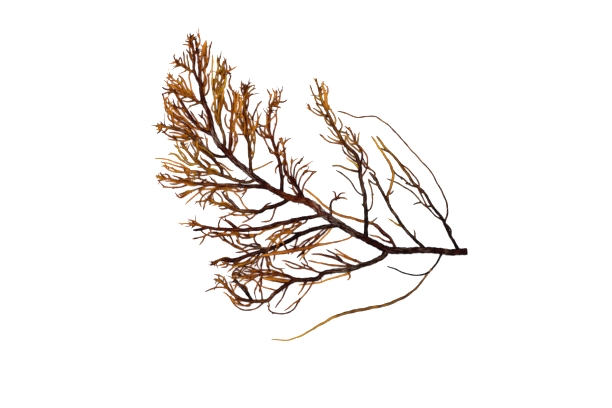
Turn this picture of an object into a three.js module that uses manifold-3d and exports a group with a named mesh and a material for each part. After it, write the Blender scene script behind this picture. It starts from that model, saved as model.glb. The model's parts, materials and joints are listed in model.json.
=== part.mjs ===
// A dried frond of cystoseira seaweed, lying flat as it was picked. One stout axis curves up from a
// cut end, and flat shoots of fine twigs grow from both of its sides. Millimetres, +Z up.
import * as THREE from "three";
import { mergeVertices } from "three/addons/utils/BufferGeometryUtils.js";
import Module from "manifold-3d";

const wasm = await Module();
wasm.setup();

// Heights of the three layers that the shoots lie in, so that shoots that cross pass over each other
const LOW = 2.2;
const MID = 5.2;
const HIGH = 8.4;

// How far a twig's tip may bend down or up from its layer
const TIP_REACH = { [LOW]: [-1.1, 0.7], [MID]: [-0.7, 0.7], [HIGH]: [-0.3, 3.6] };

// Length over which a shoot climbs or sinks from the axis to its own layer
const RISE = 13;

// Height to which the far end of a low shoot sinks, so that its underside meets the ground
const TOUCH = 0.35;

// Gap between a shoot and the stem it grows from
const GAP = 0.3;

// Least radius of a twig, and least half thickness of a blade
const THINNEST = 0.4;

// Length of one joint of a strand, the number of its sides, and its thickness over its width
const STEM = { joint: 4.6, sides: 5, flatness: 1 };
const TWIG = { joint: 4.8, sides: 4, flatness: 1 };
const THREAD = { joint: 5, sides: 3, flatness: 1 };
const BLADE = { joint: 4.8, sides: 4, flatness: 0.55 };

// A section of few sides is drawn wider, to fill about as much as the round one it stands for
const FULLNESS = { 3: 1.28, 4: 1.14, 5: 1.08 };

// Spacing of the points at which a strand may take root on another
const ROOT_SPACING = 0.7;

// How many thin twigs run beside the strands of a shoot, in bundles
const BESIDE = {
  centre_shoot: 3,
  tall_shoot: 1,
  amber_shoot: 2,
  crown_shoot: 3,
  upper_left_shoot: 3,
  dark_left_shoot: 2,
  long_left_shoot: 3,
  mid_left_shoot: 2,
  flat_left_shoot: 2,
  lower_left_shoot: 2,
  lower_shoot: 3,
  low_branch: 3,
};

// Their length, least length of the strand beside them, how much of it they may take, and what
// they keep from its ends
const BESIDE_LENGTH = [9, 20];
const BESIDE_HOST = 10;
const BESIDE_SHARE = 0.7;
const BESIDE_MARGIN = 0.08;

// How far off they run, how much of that they have reached at even steps of the way, and their radii
const BESIDE_OFFSET = [1.2, 2.6];
const BESIDE_SPREAD = [0, 0.6, 0.95, 1.1, 1.5];
const BESIDE_LIFT = [-0.3, 0.5];
const BESIDE_GIRTHS = [0.5, 0.46, 0.36];

// Step along a curve that gives its direction, and least distance between strands of two shoots
const STEP = 0.01;
const CLEARANCE = 1.9;

// Half size and depth of the block that cuts the undersides flat
const GROUND_REACH = 150;
const GROUND_DEPTH = 10;

// A strand lists its radii, evenly spaced from root to tip, and the points of its route, root first.
// A point with a third number lies at that height.
const stem = (girths, ...route) => ({ kind: STEM, girths, route });
const twig = (girths, ...route) => ({ kind: TWIG, girths, route });
const thread = (girths, ...route) => ({ kind: THREAD, girths, route });
const blade = (girths, ...route) => ({ kind: BLADE, girths, route });

// Every shoot by name: the node it grows from, its layer and its strands, the stem first
const shoots = {};
const shoot = (name, parent, level, ...strands) => {
  shoots[name] = { parent, level, strands };
};

// The axis, from its cut end to where the crown takes over
const axis = stem(
  [1.65, 1.5, 1.5, 1.65, 1.6, 1.6, 1.65, 1.8, 1.6, 1.3, 1.35, 1.4, 1.3, 1.15, 1.1],
  [78.2, -32.3, 1.35], [74, -32.6, 1.5], [70, -32.7, 1.9], [65, -32.2, 2.6], [60, -31.6, 3.3],
  [55, -31.6, 4.0], [50, -31.8, 4.5], [45, -31.9, 4.9], [40, -31.8, 5.1], [37, -31, 5.2],
  [34, -29.6, 5.2], [30, -27.6, 5.2], [26, -25.3, 5.2], [22, -23.6, 5.2], [18, -21.1, 5.2],
  [14, -18.6, 5.2], [10, -16.3, 5.2], [5.5, -13.3, 5.2], [3, -10.8, 5.2], [0, -8.4, 5.2],
  [-4, -6.8, 5.2], [-8, -6.1, 5.2], [-12, -4.9, 5.2], [-16, -3.2, 5.2], [-20, -0.9, 5.2],
  [-24, 1.9, 5.2], [-28, 4.6, 5.2], [-32.5, 8.2, 5.2], [-36, 11, 5.2], [-40, 14.6, 5.2],
  [-43.5, 18.4, 5.2], [-47.4, 22.9, 5.2], [-49.5, 28, 5.2], [-50.8, 35, 5.2], [-53.5, 41.5, 5.2],
  [-54.7, 44, 5.2],
);

shoot("whip_shoot", "main_axis", MID,
  stem([0.8, 0.65], [74, -31.5], [71.5, -28], [69.3, -24], [67.2, -20], [66, -17], [64.5, -14.5],
    [62, -11.7], [60, -9.3], [57.6, -4.6], [54, -0.5]),
  thread([0.55, 0.45, 0.4, 0.35, 0.3], [66.3, -17.5], [67.6, -14.5], [68, -11], [67.3, -7], [65, -2],
    [62, 3.6], [59, 8.5], [53, 15], [45, 24], [40, 29.5], [35.5, 33], [32, 35.2], [28, 35.3],
    [24, 34.8], [20, 35.6, 6.2], [16, 37.2, 7.4], [12.5, 38, 8.2]),
  blade([0.75, 0.7, 0.6], [53.8, -0.6], [51.3, 1.8], [48.5, 5.7], [45.5, 9.8], [42, 14.5], [38, 18.5],
    [35, 22], [32.3, 25.9]),
  thread([0.35, 0.3], [54.3, -0.5], [53.6, 2.5], [51, 6], [48, 9.2], [44.5, 12]),
  twig([0.5, 0.45], [53, 0], [50, 0.8], [47.5, 2.6], [45, 4.8], [43, 5.6]),
  thread([0.3, 0.2], [43.4, 5.5], [42, 7], [41, 8.8]),
  twig([0.3, 0.2], [49, 1.2], [46.6, 1.7]),
  twig([0.45, 0.3], [60.3, -9.8], [58, -9.5], [56.3, -7], [54.8, -3.5], [53, -0.8]),
  thread([0.45, 0.2], [65.6, -16.6], [62.5, -14.7], [59, -11.3], [55.3, -8], [52.2, -4.2], [49, -1.6],
    [44, 1.5], [37.2, 4.4]),
  thread([0.25, 0.15], [55, -7.8], [52.8, -8.1], [50.5, -8.9]),
  twig([0.35, 0.3], [69.6, -24.4], [69.7, -22], [68.8, -20], [66.9, -17.8]),
  twig([0.4, 0.3], [39, 17.3], [36.2, 18.6], [34.3, 19.6]),
);

shoot("twin_blade_shoot", "main_axis", HIGH,
  stem([0.8, 0.7], [57.5, -31.2], [54, -28.2], [51, -25.7], [48, -22.3], [45, -18.8], [42, -14],
    [38.8, -9.4], [36.5, -4.5], [33.8, 0.3], [31.8, 4.6], [30.6, 5.8]),
  twig([0.7, 0.6], [31.3, 5.2], [29.8, 6.4], [28.4, 7.4]),
  thread([0.3, 0.2], [52, -26.6], [51.6, -23.5], [50.8, -20.8]),
  blade([0.6, 0.4], [45.4, -20.4], [42.5, -18.6], [39.5, -16.6], [37.7, -15.3]),
  blade([0.65, 0.7, 0.5], [38.1, -7.9], [38.1, -4], [39.4, -0.5], [40.5, 4], [40.8, 7], [39.3, 11],
    [36.5, 15.8], [33.5, 20], [29.7, 25.8]),
  thread([0.3, 0.2], [38.3, -4], [39.8, -3.2], [41, -1.5]),
  twig([0.4, 0.3], [33.6, 0.4], [30.5, 2], [27.8, 4.4]),
  twig([0.4, 0.3], [32, 4.8], [31.4, 7], [28.5, 9.8], [26.5, 12], [25.7, 14.5]),
);

shoot("strap_shoot", "main_axis", LOW,
  blade([0.7, 0.75, 0.65, 0.5], [42.3, -30.5], [40.3, -27], [36, -22.5], [32, -19, 2.4],
    [27.5, -17.6, 2.3], [20, -15.6, 2.2], [13, -13.6, 2.2], [8, -10.5, 2.2], [3.5, -6.5], [-1, -2.6],
    [-4, -0.6]),
  twig([0.35, 0.3], [38.5, -25.2], [35.3, -23.2], [33, -20.6, 2.6], [31, -18.9, 2.4]),
  blade([0.55, 0.4], [41.2, -28.2], [38.2, -27.3], [36, -26.6], [33, -24.9], [28.8, -23.8]),
);

shoot("right_shoot", "main_axis", MID,
  stem([1.0, 0.95, 0.85, 0.6], [27.6, -25.5], [27.4, -20], [27.4, -15], [27, -9], [26.6, -4], [25.4, 1],
    [24.4, 6], [24.2, 11], [22.6, 15.5], [19.5, 18.9], [16.6, 21.6], [14, 25.8], [11.4, 30.2],
    [9, 35.4], [6.6, 40.4], [4.7, 45], [3.6, 50]),
  twig([0.55, 0.45], [24.3, 10.5], [25.3, 14], [25.3, 17], [23, 21.2], [21, 24.8], [19.3, 28.4],
    [17.6, 29.8], [16.2, 30.7]),
  twig([0.3, 0.2], [19.4, 28], [18.9, 30.4]),
  twig([0.3, 0.25], [21.6, 23.2], [21.9, 25.6], [21.4, 27.3]),
  thread([0.25, 0.15], [23, 21.4], [23.4, 24.5], [24, 27.8]),
  twig([0.5, 0.2], [17, 21.4], [13, 21.9], [9.5, 22.3], [6.8, 23.9], [4, 26.7]),
  twig([0.6, 0.35], [16, 22.2], [12.3, 23.2], [9.5, 24.5], [7.6, 26]),
  twig([0.6, 0.3], [8.8, 35], [5.8, 36.2], [3, 38.4], [0.2, 39.8]),
  twig([0.45, 0.2], [8, 34.6], [4.5, 35.8], [1, 37.4], [-1, 39], [-3, 39.8]),
  twig([0.25, 0.15], [-1, 39], [-1.6, 42]),
  twig([0.35, 0.2], [11.6, 30.8], [12.1, 33.3], [11.2, 36], [9.2, 39.2], [8.8, 41.5]),
  twig([0.4, 0.3], [11, 29.6], [8.6, 31.2], [7, 33.6], [6.2, 36.5]),
  thread([0.25, 0.15], [14.6, 27.4], [15.3, 30.2], [14.6, 32.8], [13, 35.4]),
  thread([0.3, 0.25], [14.6, 27.6], [17, 27], [19.4, 25.8]),
  blade([0.95, 0.8, 0.4], [7.4, 38.6], [7.3, 42.5], [6.8, 46.5], [5.6, 50.2], [4.4, 52.3]),
  blade([0.75, 0.6, 0.3], [6.4, 40.8], [4.8, 44.5], [4, 48.2], [2.7, 52], [0.4, 55]),
  twig([0.3, 0.15], [5.2, 51], [5.9, 53.4]),
  twig([0.25, 0.15], [3, 51.5], [2.2, 54.8]),
  twig([0.35, 0.2], [7.2, 44.5], [8.2, 48], [8, 50.9]),
  twig([0.4, 0.15], [5, 43], [2.4, 44.6], [0.4, 47.8], [-1, 51.6]),
  twig([0.45, 0.35], [6.3, 40], [3.8, 41.4], [2, 43.6], [1.2, 46]),
  blade([0.6, 0.5], [24.2, 7.3], [19.5, 8.4], [14.5, 10.4], [9.7, 10.5]),
  blade([0.65, 0.3], [24, 9], [21.5, 11.8], [18.8, 13.8], [17, 15]),
  twig([0.5, 0.3], [23.4, 12], [20, 14.3], [17.3, 16.6], [15.2, 19]),
  thread([0.4, 0.2], [26.5, -4.6], [23, -2.5], [20, 2], [16, 6.2], [11.8, 8.5]),
  thread([0.25, 0.15], [26.9, -10.2], [24.8, -8.2]),
  twig([0.3, 0.2], [27.4, -19.2], [30, -17.5], [33.3, -15]),
  twig([0.4, 0.35], [27.4, -12.6], [29.8, -10.5], [30.5, -5.5], [29.7, 0], [28.3, 3.7]),
  twig([0.4, 0.3], [24.3, 13], [26, 11.3], [27.6, 8.9]),
);

shoot("curled_twig", "main_axis", HIGH,
  stem([0.6, 0.55], [10, -16.3], [9.7, -12.5], [9.6, -9], [10.8, -6.6], [12.6, -5.8], [14.4, -5.9]),
  twig([0.3, 0.15], [12.4, -5.8], [13.6, -4.4], [15.2, -3.1], [17.6, -3]),
  twig([0.25, 0.12], [14, -5.9], [16.2, -5.6], [18.2, -6.4]),
  twig([0.25, 0.12], [11.6, -6.2], [11.9, -4], [11.4, -2.4], [9.9, -2.5]),
);

shoot("finger_shoot", "main_axis", HIGH,
  stem([0.9, 0.8, 0.6, 0.4], [-4, -6.9], [-4.8, -4], [-6.6, -1.2], [-9, 2.4], [-12, 6], [-13.6, 9.4],
    [-13.2, 13], [-13.6, 18.5], [-14.4, 22], [-15.9, 24.9]),
  twig([0.7, 0.5], [-4.5, -5], [-7.3, -3.4], [-9, -1], [-9.4, 1]),
  twig([0.4, 0.2], [-4.6, -4.5], [-4.4, -1], [-3, 2.6], [-0.4, 5.4], [2.2, 7.9]),
  twig([0.4, 0.2], [-5.6, -2.6], [-6.4, 1], [-5.6, 4.2], [-3.8, 6.7], [-1.5, 7.8], [0.6, 7.9]),
  twig([0.25, 0.12], [-4.5, 6], [-3.6, 7.4], [-2.4, 8.8]),
  twig([0.35, 0.15], [-7, -0.6], [-7.9, 4], [-6.4, 8], [-4, 10.2], [-1, 11.5]),
  twig([0.35, 0.15], [-8, 0.8], [-8.8, 5], [-8.3, 9.4], [-6.6, 12.2], [-4.2, 13.4]),
  twig([0.2, 0.1], [-5.3, 13], [-4.6, 14.7]),
  twig([0.35, 0.2], [-9.2, 2.8], [-10.2, 7], [-9.9, 10.8], [-9.4, 14.2]),
  twig([0.3, 0.2], [-8.6, 1.6], [-10.6, 1.9], [-12.3, 4.1]),
);

shoot("centre_shoot", "main_axis", MID,
  stem([0.9, 0.85, 0.7, 0.6], [-14.9, -3.6], [-14.8, 1], [-15.2, 7], [-16.1, 12.5], [-17.6, 17.5],
    [-19, 22], [-20.8, 26.5], [-21.2, 32], [-20.8, 37], [-19.8, 40.3]),
  twig([0.65, 0.6], [-17.4, 17.6], [-16.9, 20.4], [-16.2, 23.1]),
  twig([0.5, 0.3], [-19, 22.6], [-18.9, 27], [-17.8, 31.5], [-17.5, 36], [-18, 38.6]),
  twig([0.45, 0.35], [-20.2, 25], [-21.9, 29], [-22.4, 34], [-21.9, 38]),
  twig([0.55, 0.15], [-20.2, 39.6], [-21.1, 42.2], [-20.4, 45], [-21.3, 47.6], [-22.6, 49.5]),
  twig([0.25, 0.12], [-20.4, 44.6], [-19.6, 46.9]),
  twig([0.5, 0.6], [-19.8, 40], [-19.3, 42.4], [-18.4, 45]),
  twig([0.45, 0.15], [-19.2, 39.9], [-16.9, 41.4], [-16, 44], [-15.6, 46.6], [-14.6, 49]),
  twig([0.4, 0.35], [-19.4, 40.4], [-18, 42.4], [-17, 44.4]),
  twig([0.25, 0.1], [-16.6, 41.9], [-14, 42.7], [-11.8, 43.9]),
  twig([0.25, 0.2], [-18.8, 39.4], [-16.8, 40.1], [-15, 39.4]),
  twig([0.35, 0.25], [-20, 24.4], [-23.5, 25], [-26.4, 26.5], [-28.6, 29]),
  twig([0.35, 0.25], [-21.2, 31], [-24, 30.5], [-27, 31.4]),
  twig([0.35, 0.2], [-17.6, 16.6], [-20.2, 17], [-21.2, 19], [-22.2, 19.9]),
  twig([0.35, 0.15], [-16.8, 14.8], [-14.6, 17.7], [-12.2, 20]),
  twig([0.3, 0.15], [-15.6, 10], [-14.4, 12], [-13.4, 14.6]),
  twig([0.55, 0.35], [-15.9, 11.4], [-17.6, 9.6], [-17.9, 7.6], [-17.4, 6.3]),
  twig([0.35, 0.3], [-15, 3.6], [-13.8, 5.2], [-12.8, 6.5]),
);

shoot("tall_shoot", "main_axis", HIGH,
  stem([0.85, 0.75, 0.65, 0.5], [-30.4, 6], [-30.5, 11], [-30.9, 17], [-31.4, 22.5], [-32.5, 28],
    [-33.3, 34], [-33.2, 40], [-33.4, 46], [-33.6, 51.6]),
  twig([0.35, 0.3], [-30.4, 8.4], [-26, 9.6], [-22, 11.4], [-18.6, 13.2]),
  twig([0.45, 0.3], [-30.7, 13], [-29.1, 15.6], [-28.6, 20], [-28.2, 25], [-29, 30], [-29.8, 34.5],
    [-31.6, 37.6]),
  twig([0.35, 0.15], [-29.6, 33.4], [-28.4, 37], [-26.6, 40.6], [-24.3, 43.1]),
  twig([0.25, 0.12], [-28.8, 28.6], [-26.6, 31.4], [-26.7, 36.6]),
  twig([0.5, 0.4], [-31.4, 22.8], [-33.8, 26.6], [-34.8, 31], [-36.4, 35], [-38.6, 37.4]),
  twig([0.4, 0.3], [-32.2, 26], [-30.6, 29], [-31, 33], [-32, 36]),
  twig([0.45, 0.15], [-33.4, 45.6], [-31.8, 48.4], [-30.2, 50], [-27.9, 51.1]),
  twig([0.4, 0.15], [-33.3, 44.8], [-31.4, 46.8], [-29.6, 48.4], [-27.4, 49.2]),
  twig([0.3, 0.12], [-33.3, 44], [-31.2, 45.2], [-29.2, 46.9]),
  twig([0.3, 0.12], [-33.4, 46.6], [-32.4, 49.8], [-30.6, 52.2]),
  twig([0.35, 0.15], [-33.4, 44.6], [-34.9, 48.6], [-34.8, 51.8]),
  blade([0.65, 0.6, 0.35], [-33.1, 29.5], [-35.4, 33.6], [-35.3, 38.6], [-34.8, 42], [-35, 45.6]),
  blade([0.55, 0.5, 0.3], [-34.2, 28.4], [-37.2, 32.6], [-37.6, 38], [-37, 43], [-36.2, 48.4]),
  twig([0.4, 0.25], [-37.4, 39.6], [-38.4, 44], [-38.2, 47.8]),
  twig([0.35, 0.25], [-33.2, 40], [-31.6, 41.2]),
  twig([0.3, 0.25], [-32.2, 26.8], [-34.4, 26.2], [-37.2, 26.3]),
);

shoot("inner_shoot", "main_axis", MID,
  stem([0.85, 0.75, 0.6, 0.45], [-40.6, 13.6], [-40.8, 18], [-40.5, 24], [-40.2, 30], [-39.8, 35],
    [-39.6, 39.4], [-38.3, 42.6], [-37.3, 46], [-36.2, 47.9]),
  twig([0.45, 0.35], [-40.8, 16.4], [-38.8, 18.6], [-38.3, 23], [-38.5, 28], [-38.3, 33.6]),
  twig([0.35, 0.25], [-40.7, 18.8], [-39.6, 22], [-39.4, 25]),
  twig([0.4, 0.2], [-39.4, 39.8], [-38.6, 44], [-39.4, 47.6], [-41.8, 51.2]),
  twig([0.35, 0.2], [-39.8, 38.6], [-40.2, 43], [-41.2, 46.4], [-42.6, 49.4]),
  twig([0.3, 0.15], [-41, 49.4], [-41.2, 52.6], [-40, 56.1]),
  twig([0.3, 0.2], [-39.8, 37.6], [-42.4, 38.8], [-43.5, 42], [-43.9, 46]),
  twig([0.35, 0.3], [-40.2, 28.6], [-42.3, 30.4], [-43.2, 33.6], [-42.4, 37]),
  twig([0.4, 0.3], [-40.1, 30], [-38, 33], [-36.8, 35.4]),
);

shoot("amber_shoot", "main_axis", HIGH,
  stem([0.75, 0.7, 0.6, 0.5], [-44.4, 18.4], [-43.4, 22], [-44, 26.4], [-45.4, 31], [-46.2, 36],
    [-46.3, 42], [-46, 47], [-45.2, 52], [-44.3, 57], [-43.8, 60.4]),
  twig([0.65, 0.5], [-45.5, 31.4], [-47, 34.4], [-47.8, 39], [-48.1, 44], [-48.8, 48]),
  blade([0.55, 0.4, 0.2], [-48.6, 47], [-49.5, 52], [-49.4, 58], [-49.4, 66.4]),
  twig([0.5, 0.2], [-48.4, 48], [-47.7, 54], [-46.6, 59.6], [-45.4, 65.8]),
  twig([0.25, 0.12], [-46.2, 61.8], [-47, 64.6]),
  twig([0.45, 0.2], [-45, 53], [-43.2, 56.6], [-42.4, 60], [-43.4, 63.8]),
  twig([0.4, 0.12], [-44.2, 57.4], [-41, 58], [-38.8, 59.3], [-36.8, 60.1]),
  twig([0.2, 0.1], [-40.6, 58.3], [-41.2, 61.1]),
  twig([0.25, 0.12], [-43, 57.7], [-41.2, 56.6], [-39.6, 56.4]),
  blade([0.6, 0.5, 0.3], [-45.9, 47.2], [-43.6, 49.8], [-42.4, 53.6], [-42.6, 56]),
  blade([0.85, 0.7, 0.4], [-46.1, 37.6], [-44.6, 41.6], [-44.1, 46], [-43.6, 49]),
  twig([0.35, 0.2], [-44.6, 43.6], [-43, 42], [-41.6, 38.6]),
);

shoot("crown_shoot", "main_axis", MID,
  stem([1.1, 0.95, 0.8, 0.6, 0.5], [-54.5, 43], [-55.2, 49], [-55.6, 55], [-56, 60], [-56.6, 65],
    [-57.3, 70]),
  stem([0.7, 0.65, 0.5], [-55.3, 51], [-57.4, 54.8], [-58.8, 59], [-58.6, 65], [-59.3, 70],
    [-60.3, 73.4], [-60.3, 76.6]),
  twig([0.35, 0.3], [-60.2, 73], [-61.8, 75.2], [-62, 76.7]),
  twig([0.4, 0.35], [-60, 72.6], [-59.3, 75], [-58.6, 76.7]),
  twig([0.55, 0.2], [-57.3, 69], [-57.8, 72], [-57.3, 74.9]),
  twig([0.4, 0.25], [-57.2, 69.6], [-56, 72], [-56, 75], [-56.6, 77.1]),
  twig([0.4, 0.3], [-59.6, 70.6], [-61.4, 72.4], [-63.7, 73.3]),
  twig([0.35, 0.25], [-59.2, 69.4], [-61.6, 71], [-64.9, 71.3]),
  twig([0.35, 0.15], [-58.6, 65.4], [-60.8, 66.6], [-63, 69.2]),
  twig([0.35, 0.25], [-58.8, 62], [-60.2, 64], [-61.3, 66.6]),
  twig([0.5, 0.45], [-56.1, 60.6], [-54.9, 64], [-54.1, 67.6], [-53.6, 70.6]),
  blade([0.85, 0.95, 0.5], [-53.9, 69], [-53, 71.6], [-52.7, 73.8]),
  twig([0.3, 0.25], [-54.5, 66], [-52.9, 67.4], [-52.4, 70]),
  twig([0.4, 0.3], [-56, 59.6], [-54.4, 58.6], [-53.4, 56], [-53.1, 52.8]),
  twig([0.45, 0.3], [-54, 57.8], [-52.2, 60.8], [-51.4, 65], [-50.8, 69.4], [-49.6, 73.6]),
  twig([0.5, 0.3], [-54.7, 46.6], [-52.6, 46.4], [-51.4, 49.6], [-51.4, 54], [-51.9, 57]),
  twig([0.35, 0.3], [-54.9, 47.8], [-54, 50.6], [-54, 53]),
);

shoot("fan_shoot", "crown_shoot", HIGH,
  stem([0.6, 0.5, 0.3], [-58.2, 57.4], [-61.2, 58.4], [-64, 60.2], [-67.2, 61.9], [-69.7, 62]),
  twig([0.3, 0.2], [-63.6, 60], [-65.8, 61.6], [-67.4, 63.7]),
  twig([0.3, 0.2], [-66.6, 61.6], [-67.7, 63], [-68.4, 65], [-67.6, 66.6]),
  twig([0.3, 0.2], [-63, 59.6], [-64.6, 62.2], [-65.1, 64.8]),
  twig([0.3, 0.12], [-62.2, 59], [-63.2, 62], [-63.6, 66.4]),
  twig([0.3, 0.12], [-60.8, 58.4], [-61.6, 62], [-62, 66.6]),
  twig([0.2, 0.1], [-62, 58.8], [-63.6, 57.1]),
  twig([0.4, 0.3], [-60.6, 58.2], [-61, 54.6], [-60, 49.6], [-58.8, 45.6]),
);

shoot("upper_left_shoot", "main_axis", MID,
  stem([0.65, 0.5, 0.3], [-54.2, 42.2], [-58, 43.2], [-61, 45.4], [-63.8, 48.2], [-66, 51.8],
    [-69, 53.8], [-72.3, 56.8]),
  twig([0.3, 0.12], [-64.6, 49.4], [-64.8, 52.4], [-64.6, 55.3]),
  twig([0.3, 0.12], [-66, 51.4], [-66.7, 53], [-66.7, 55.1]),
  twig([0.35, 0.25], [-60, 44.6], [-60.6, 47.4], [-62, 49.8]),
  twig([0.4, 0.3], [-64.6, 49.2], [-67.4, 49], [-70.6, 51.1]),
  twig([0.35, 0.25], [-61.8, 46], [-65.2, 46.2], [-68, 47.4]),
  twig([0.4, 0.3], [-58, 43.2], [-62, 42.6], [-65, 43.4]),
  twig([0.5, 0.35], [-56, 42.6], [-58.5, 41.2], [-61.6, 40.4]),
);

shoot("dark_left_shoot", "main_axis", LOW,
  stem([0.85, 0.8, 0.7, 0.5], [-49.2, 26], [-52, 27.2], [-55.6, 29.4], [-58.6, 32.4], [-61.4, 36.2],
    [-63.6, 40], [-66.2, 43.6], [-68.2, 47], [-71.4, 50.2]),
  twig([0.3, 0.15], [-71, 49.8], [-72.1, 51.6], [-72.3, 53.4]),
  twig([0.4, 0.2], [-70.4, 49], [-73.2, 49], [-75.2, 50.4]),
  twig([0.45, 0.25], [-69.4, 48.2], [-73, 47.4], [-75.3, 46]),
  twig([0.5, 0.35], [-54.6, 28.6], [-57.6, 29.2], [-60.4, 31.2], [-64, 34.8], [-68, 37.9], [-71, 42],
    [-72.2, 45.4]),
  twig([0.35, 0.25], [-64, 34.8], [-67, 35.4], [-70.6, 38.4]),
  twig([0.45, 0.3], [-56, 29.8], [-57.4, 33], [-59.4, 36.2], [-61, 38.6]),
  twig([0.35, 0.25], [-51.6, 27.2], [-52.4, 30.4], [-53.8, 34], [-57.2, 36.8]),
  twig([0.25, 0.12], [-54.4, 35], [-54.8, 37], [-54.6, 38.9]),
  twig([0.5, 0.3], [-63.6, 40], [-65.4, 39.4], [-68, 40.4], [-69.6, 43.6]),
  twig([0.3, 0.2], [-66, 43.4], [-64, 44.8], [-62.4, 44.6]),
);

shoot("long_left_shoot", "main_axis", MID,
  stem([0.6, 0.85, 0.9, 0.8, 0.45], [-42, 14.6], [-45.2, 15.3], [-49, 16], [-51.8, 18.2], [-55, 21.2],
    [-58.6, 23.8], [-61.4, 26.8], [-66, 28.5], [-71, 29.6], [-75, 30.4], [-78.2, 30]),
  twig([0.35, 0.2], [-74.4, 30.2], [-76, 29.2], [-78, 28.4]),
  twig([0.25, 0.12], [-74.6, 30.2], [-75.6, 28.2], [-77.6, 26.5]),
  twig([0.25, 0.12], [-71.4, 29.6], [-73.4, 27.8], [-75.2, 27]),
  twig([0.3, 0.15], [-73.4, 30.2], [-75.8, 31.6]),
  twig([0.3, 0.15], [-67.8, 29], [-69.1, 31.8], [-69.6, 34.7]),
  twig([0.5, 0.3], [-60, 25.2], [-64, 26.2], [-68.6, 27.2], [-71.6, 27.2]),
  twig([0.6, 0.5, 0.35], [-57, 22.6], [-59.6, 27.2], [-62.6, 31], [-67, 33.8], [-70.6, 36.6],
    [-72.6, 40.6], [-74, 45.2], [-75, 47.4]),
  twig([0.4, 0.2], [-59.4, 24.6], [-63, 23.2], [-67.5, 23.2], [-72.4, 24.2]),
  twig([0.3, 0.15], [-67, 23.2], [-69, 24.7], [-71.8, 25.4]),
  twig([0.35, 0.25], [-58, 23.4], [-56, 24.8], [-53.4, 24.2]),
  twig([0.35, 0.3], [-51.6, 18], [-52.3, 21], [-52.2, 25]),
);

shoot("mid_left_shoot", "main_axis", HIGH,
  stem([0.7, 0.85, 0.8, 0.5], [-27.6, 4], [-31, 2.6], [-36, 2.8], [-41, 4.6], [-46, 6.3], [-50, 7.8],
    [-54, 10.2], [-58, 13.3], [-61.4, 17.4], [-64.4, 20.7], [-65.4, 22.6]),
  twig([0.6, 0.5, 0.3], [-45, 6], [-50, 6.9], [-55, 7.6], [-60, 8], [-65, 9.8], [-70, 11.3],
    [-75.6, 12.7]),
  blade([0.5, 0.45, 0.2], [-60.6, 8.2], [-65, 11.2], [-70, 13.1], [-75, 14.2], [-78.6, 14.2]),
  twig([0.5, 0.3], [-57, 7.7], [-61, 7], [-66, 7.8], [-70, 9.4], [-74.6, 11.2]),
  twig([0.4, 0.25], [-56, 11.6], [-60, 11.8], [-63.4, 14], [-65.6, 17.4], [-66.6, 20.4], [-67.6, 23.4]),
  twig([0.4, 0.2], [-57, 11.9], [-60.6, 10.9], [-64, 13], [-67, 15.8], [-70, 16.4], [-72, 15.8]),
  twig([0.4, 0.3], [-57.6, 13], [-57.2, 15.4], [-58.8, 19], [-60.6, 22.8]),
  twig([0.4, 0.3], [-51.8, 8.9], [-50.6, 11], [-52.4, 12.8], [-55.4, 14]),
  twig([0.7, 0.75, 0.65, 0.5], [-44.2, 5.7], [-45, 9], [-47.4, 12], [-50.6, 15.4], [-54.6, 18],
    [-58, 20.6], [-59.6, 23]),
  twig([0.45, 0.35], [-47.8, 12.4], [-45.6, 11.8], [-43.2, 10.2], [-41, 8.6], [-38.4, 7.8]),
  twig([0.35, 0.3], [-63.6, 9], [-61.8, 5.6], [-60, 3], [-59, 2]),
  twig([0.5, 0.35], [-57.8, 7.4], [-58.6, 5], [-58, 3]),
  twig([0.5, 0.35], [-56.6, 7.6], [-56, 5], [-55, 3.2]),
);

shoot("flat_left_shoot", "main_axis", LOW,
  stem([1.0, 0.95, 0.85, 0.65, 0.35], [-21, -0.3], [-26, 0.3], [-32, 0.3], [-38, 0.8], [-46, 1],
    [-54, 1.6], [-61, 2], [-66, 3.1], [-71, 4], [-75, 4.5], [-78, 5.7]),
  twig([0.3, 0.12], [-73, 4.4], [-74.6, 5.8], [-76.4, 7.4]),
  twig([0.3, 0.12], [-73, 4.2], [-75.4, 3.4], [-77.5, 3.3]),
  twig([0.3, 0.15], [-70.6, 4.2], [-72, 6], [-73.6, 6.9]),
  twig([0.4, 0.3], [-64.4, 3], [-67, 4.9], [-70, 5.9]),
  twig([0.45, 0.2], [-60.6, 1.9], [-64.4, 0.4], [-70, -0.2], [-73.4, 0.2], [-75.5, 1.2]),
  twig([0.4, 0.3], [-64.4, 2.6], [-68, 1.6], [-71.8, 1.6]),
  twig([0.5, 0.4, 0.25], [-49, 1], [-54, 0.2], [-60, -2.2], [-64, -4.8], [-65.8, -5.3], [-67.2, -4.2],
    [-68.6, -2.5]),
  twig([0.3, 0.25], [-58.6, -1.6], [-62.4, -2.2], [-65, -3.6]),
  twig([0.35, 0.2], [-56, -0.6], [-55.8, -2.8], [-54, -5]),
  twig([0.65, 0.55, 0.3], [-46, 0.8], [-48.6, -1.6], [-51.4, -5.2], [-53.2, -7.6], [-53.8, -10.2],
    [-54.5, -12.1]),
  twig([0.25, 0.15], [-52.6, -6.2], [-55.6, -7.2], [-58.4, -7.3]),
  twig([0.3, 0.2], [-55.4, 1.8], [-53.8, 3.4], [-52.2, 4.2]),
  twig([0.4, 0.3], [-47, 1.2], [-48.8, 3.2], [-50.6, 4]),
  twig([0.3, 0.2], [-37, 1], [-35.4, 2.4], [-34, 4]),
  twig([0.45, 0.3], [-31.6, 0.2], [-34.4, -1.8], [-38, -2.2], [-42, -1.3], [-46, -0.6]),
  twig([0.3, 0.2], [-32.4, -0.6], [-33.4, -2.8], [-35.2, -3.6]),
);

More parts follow.
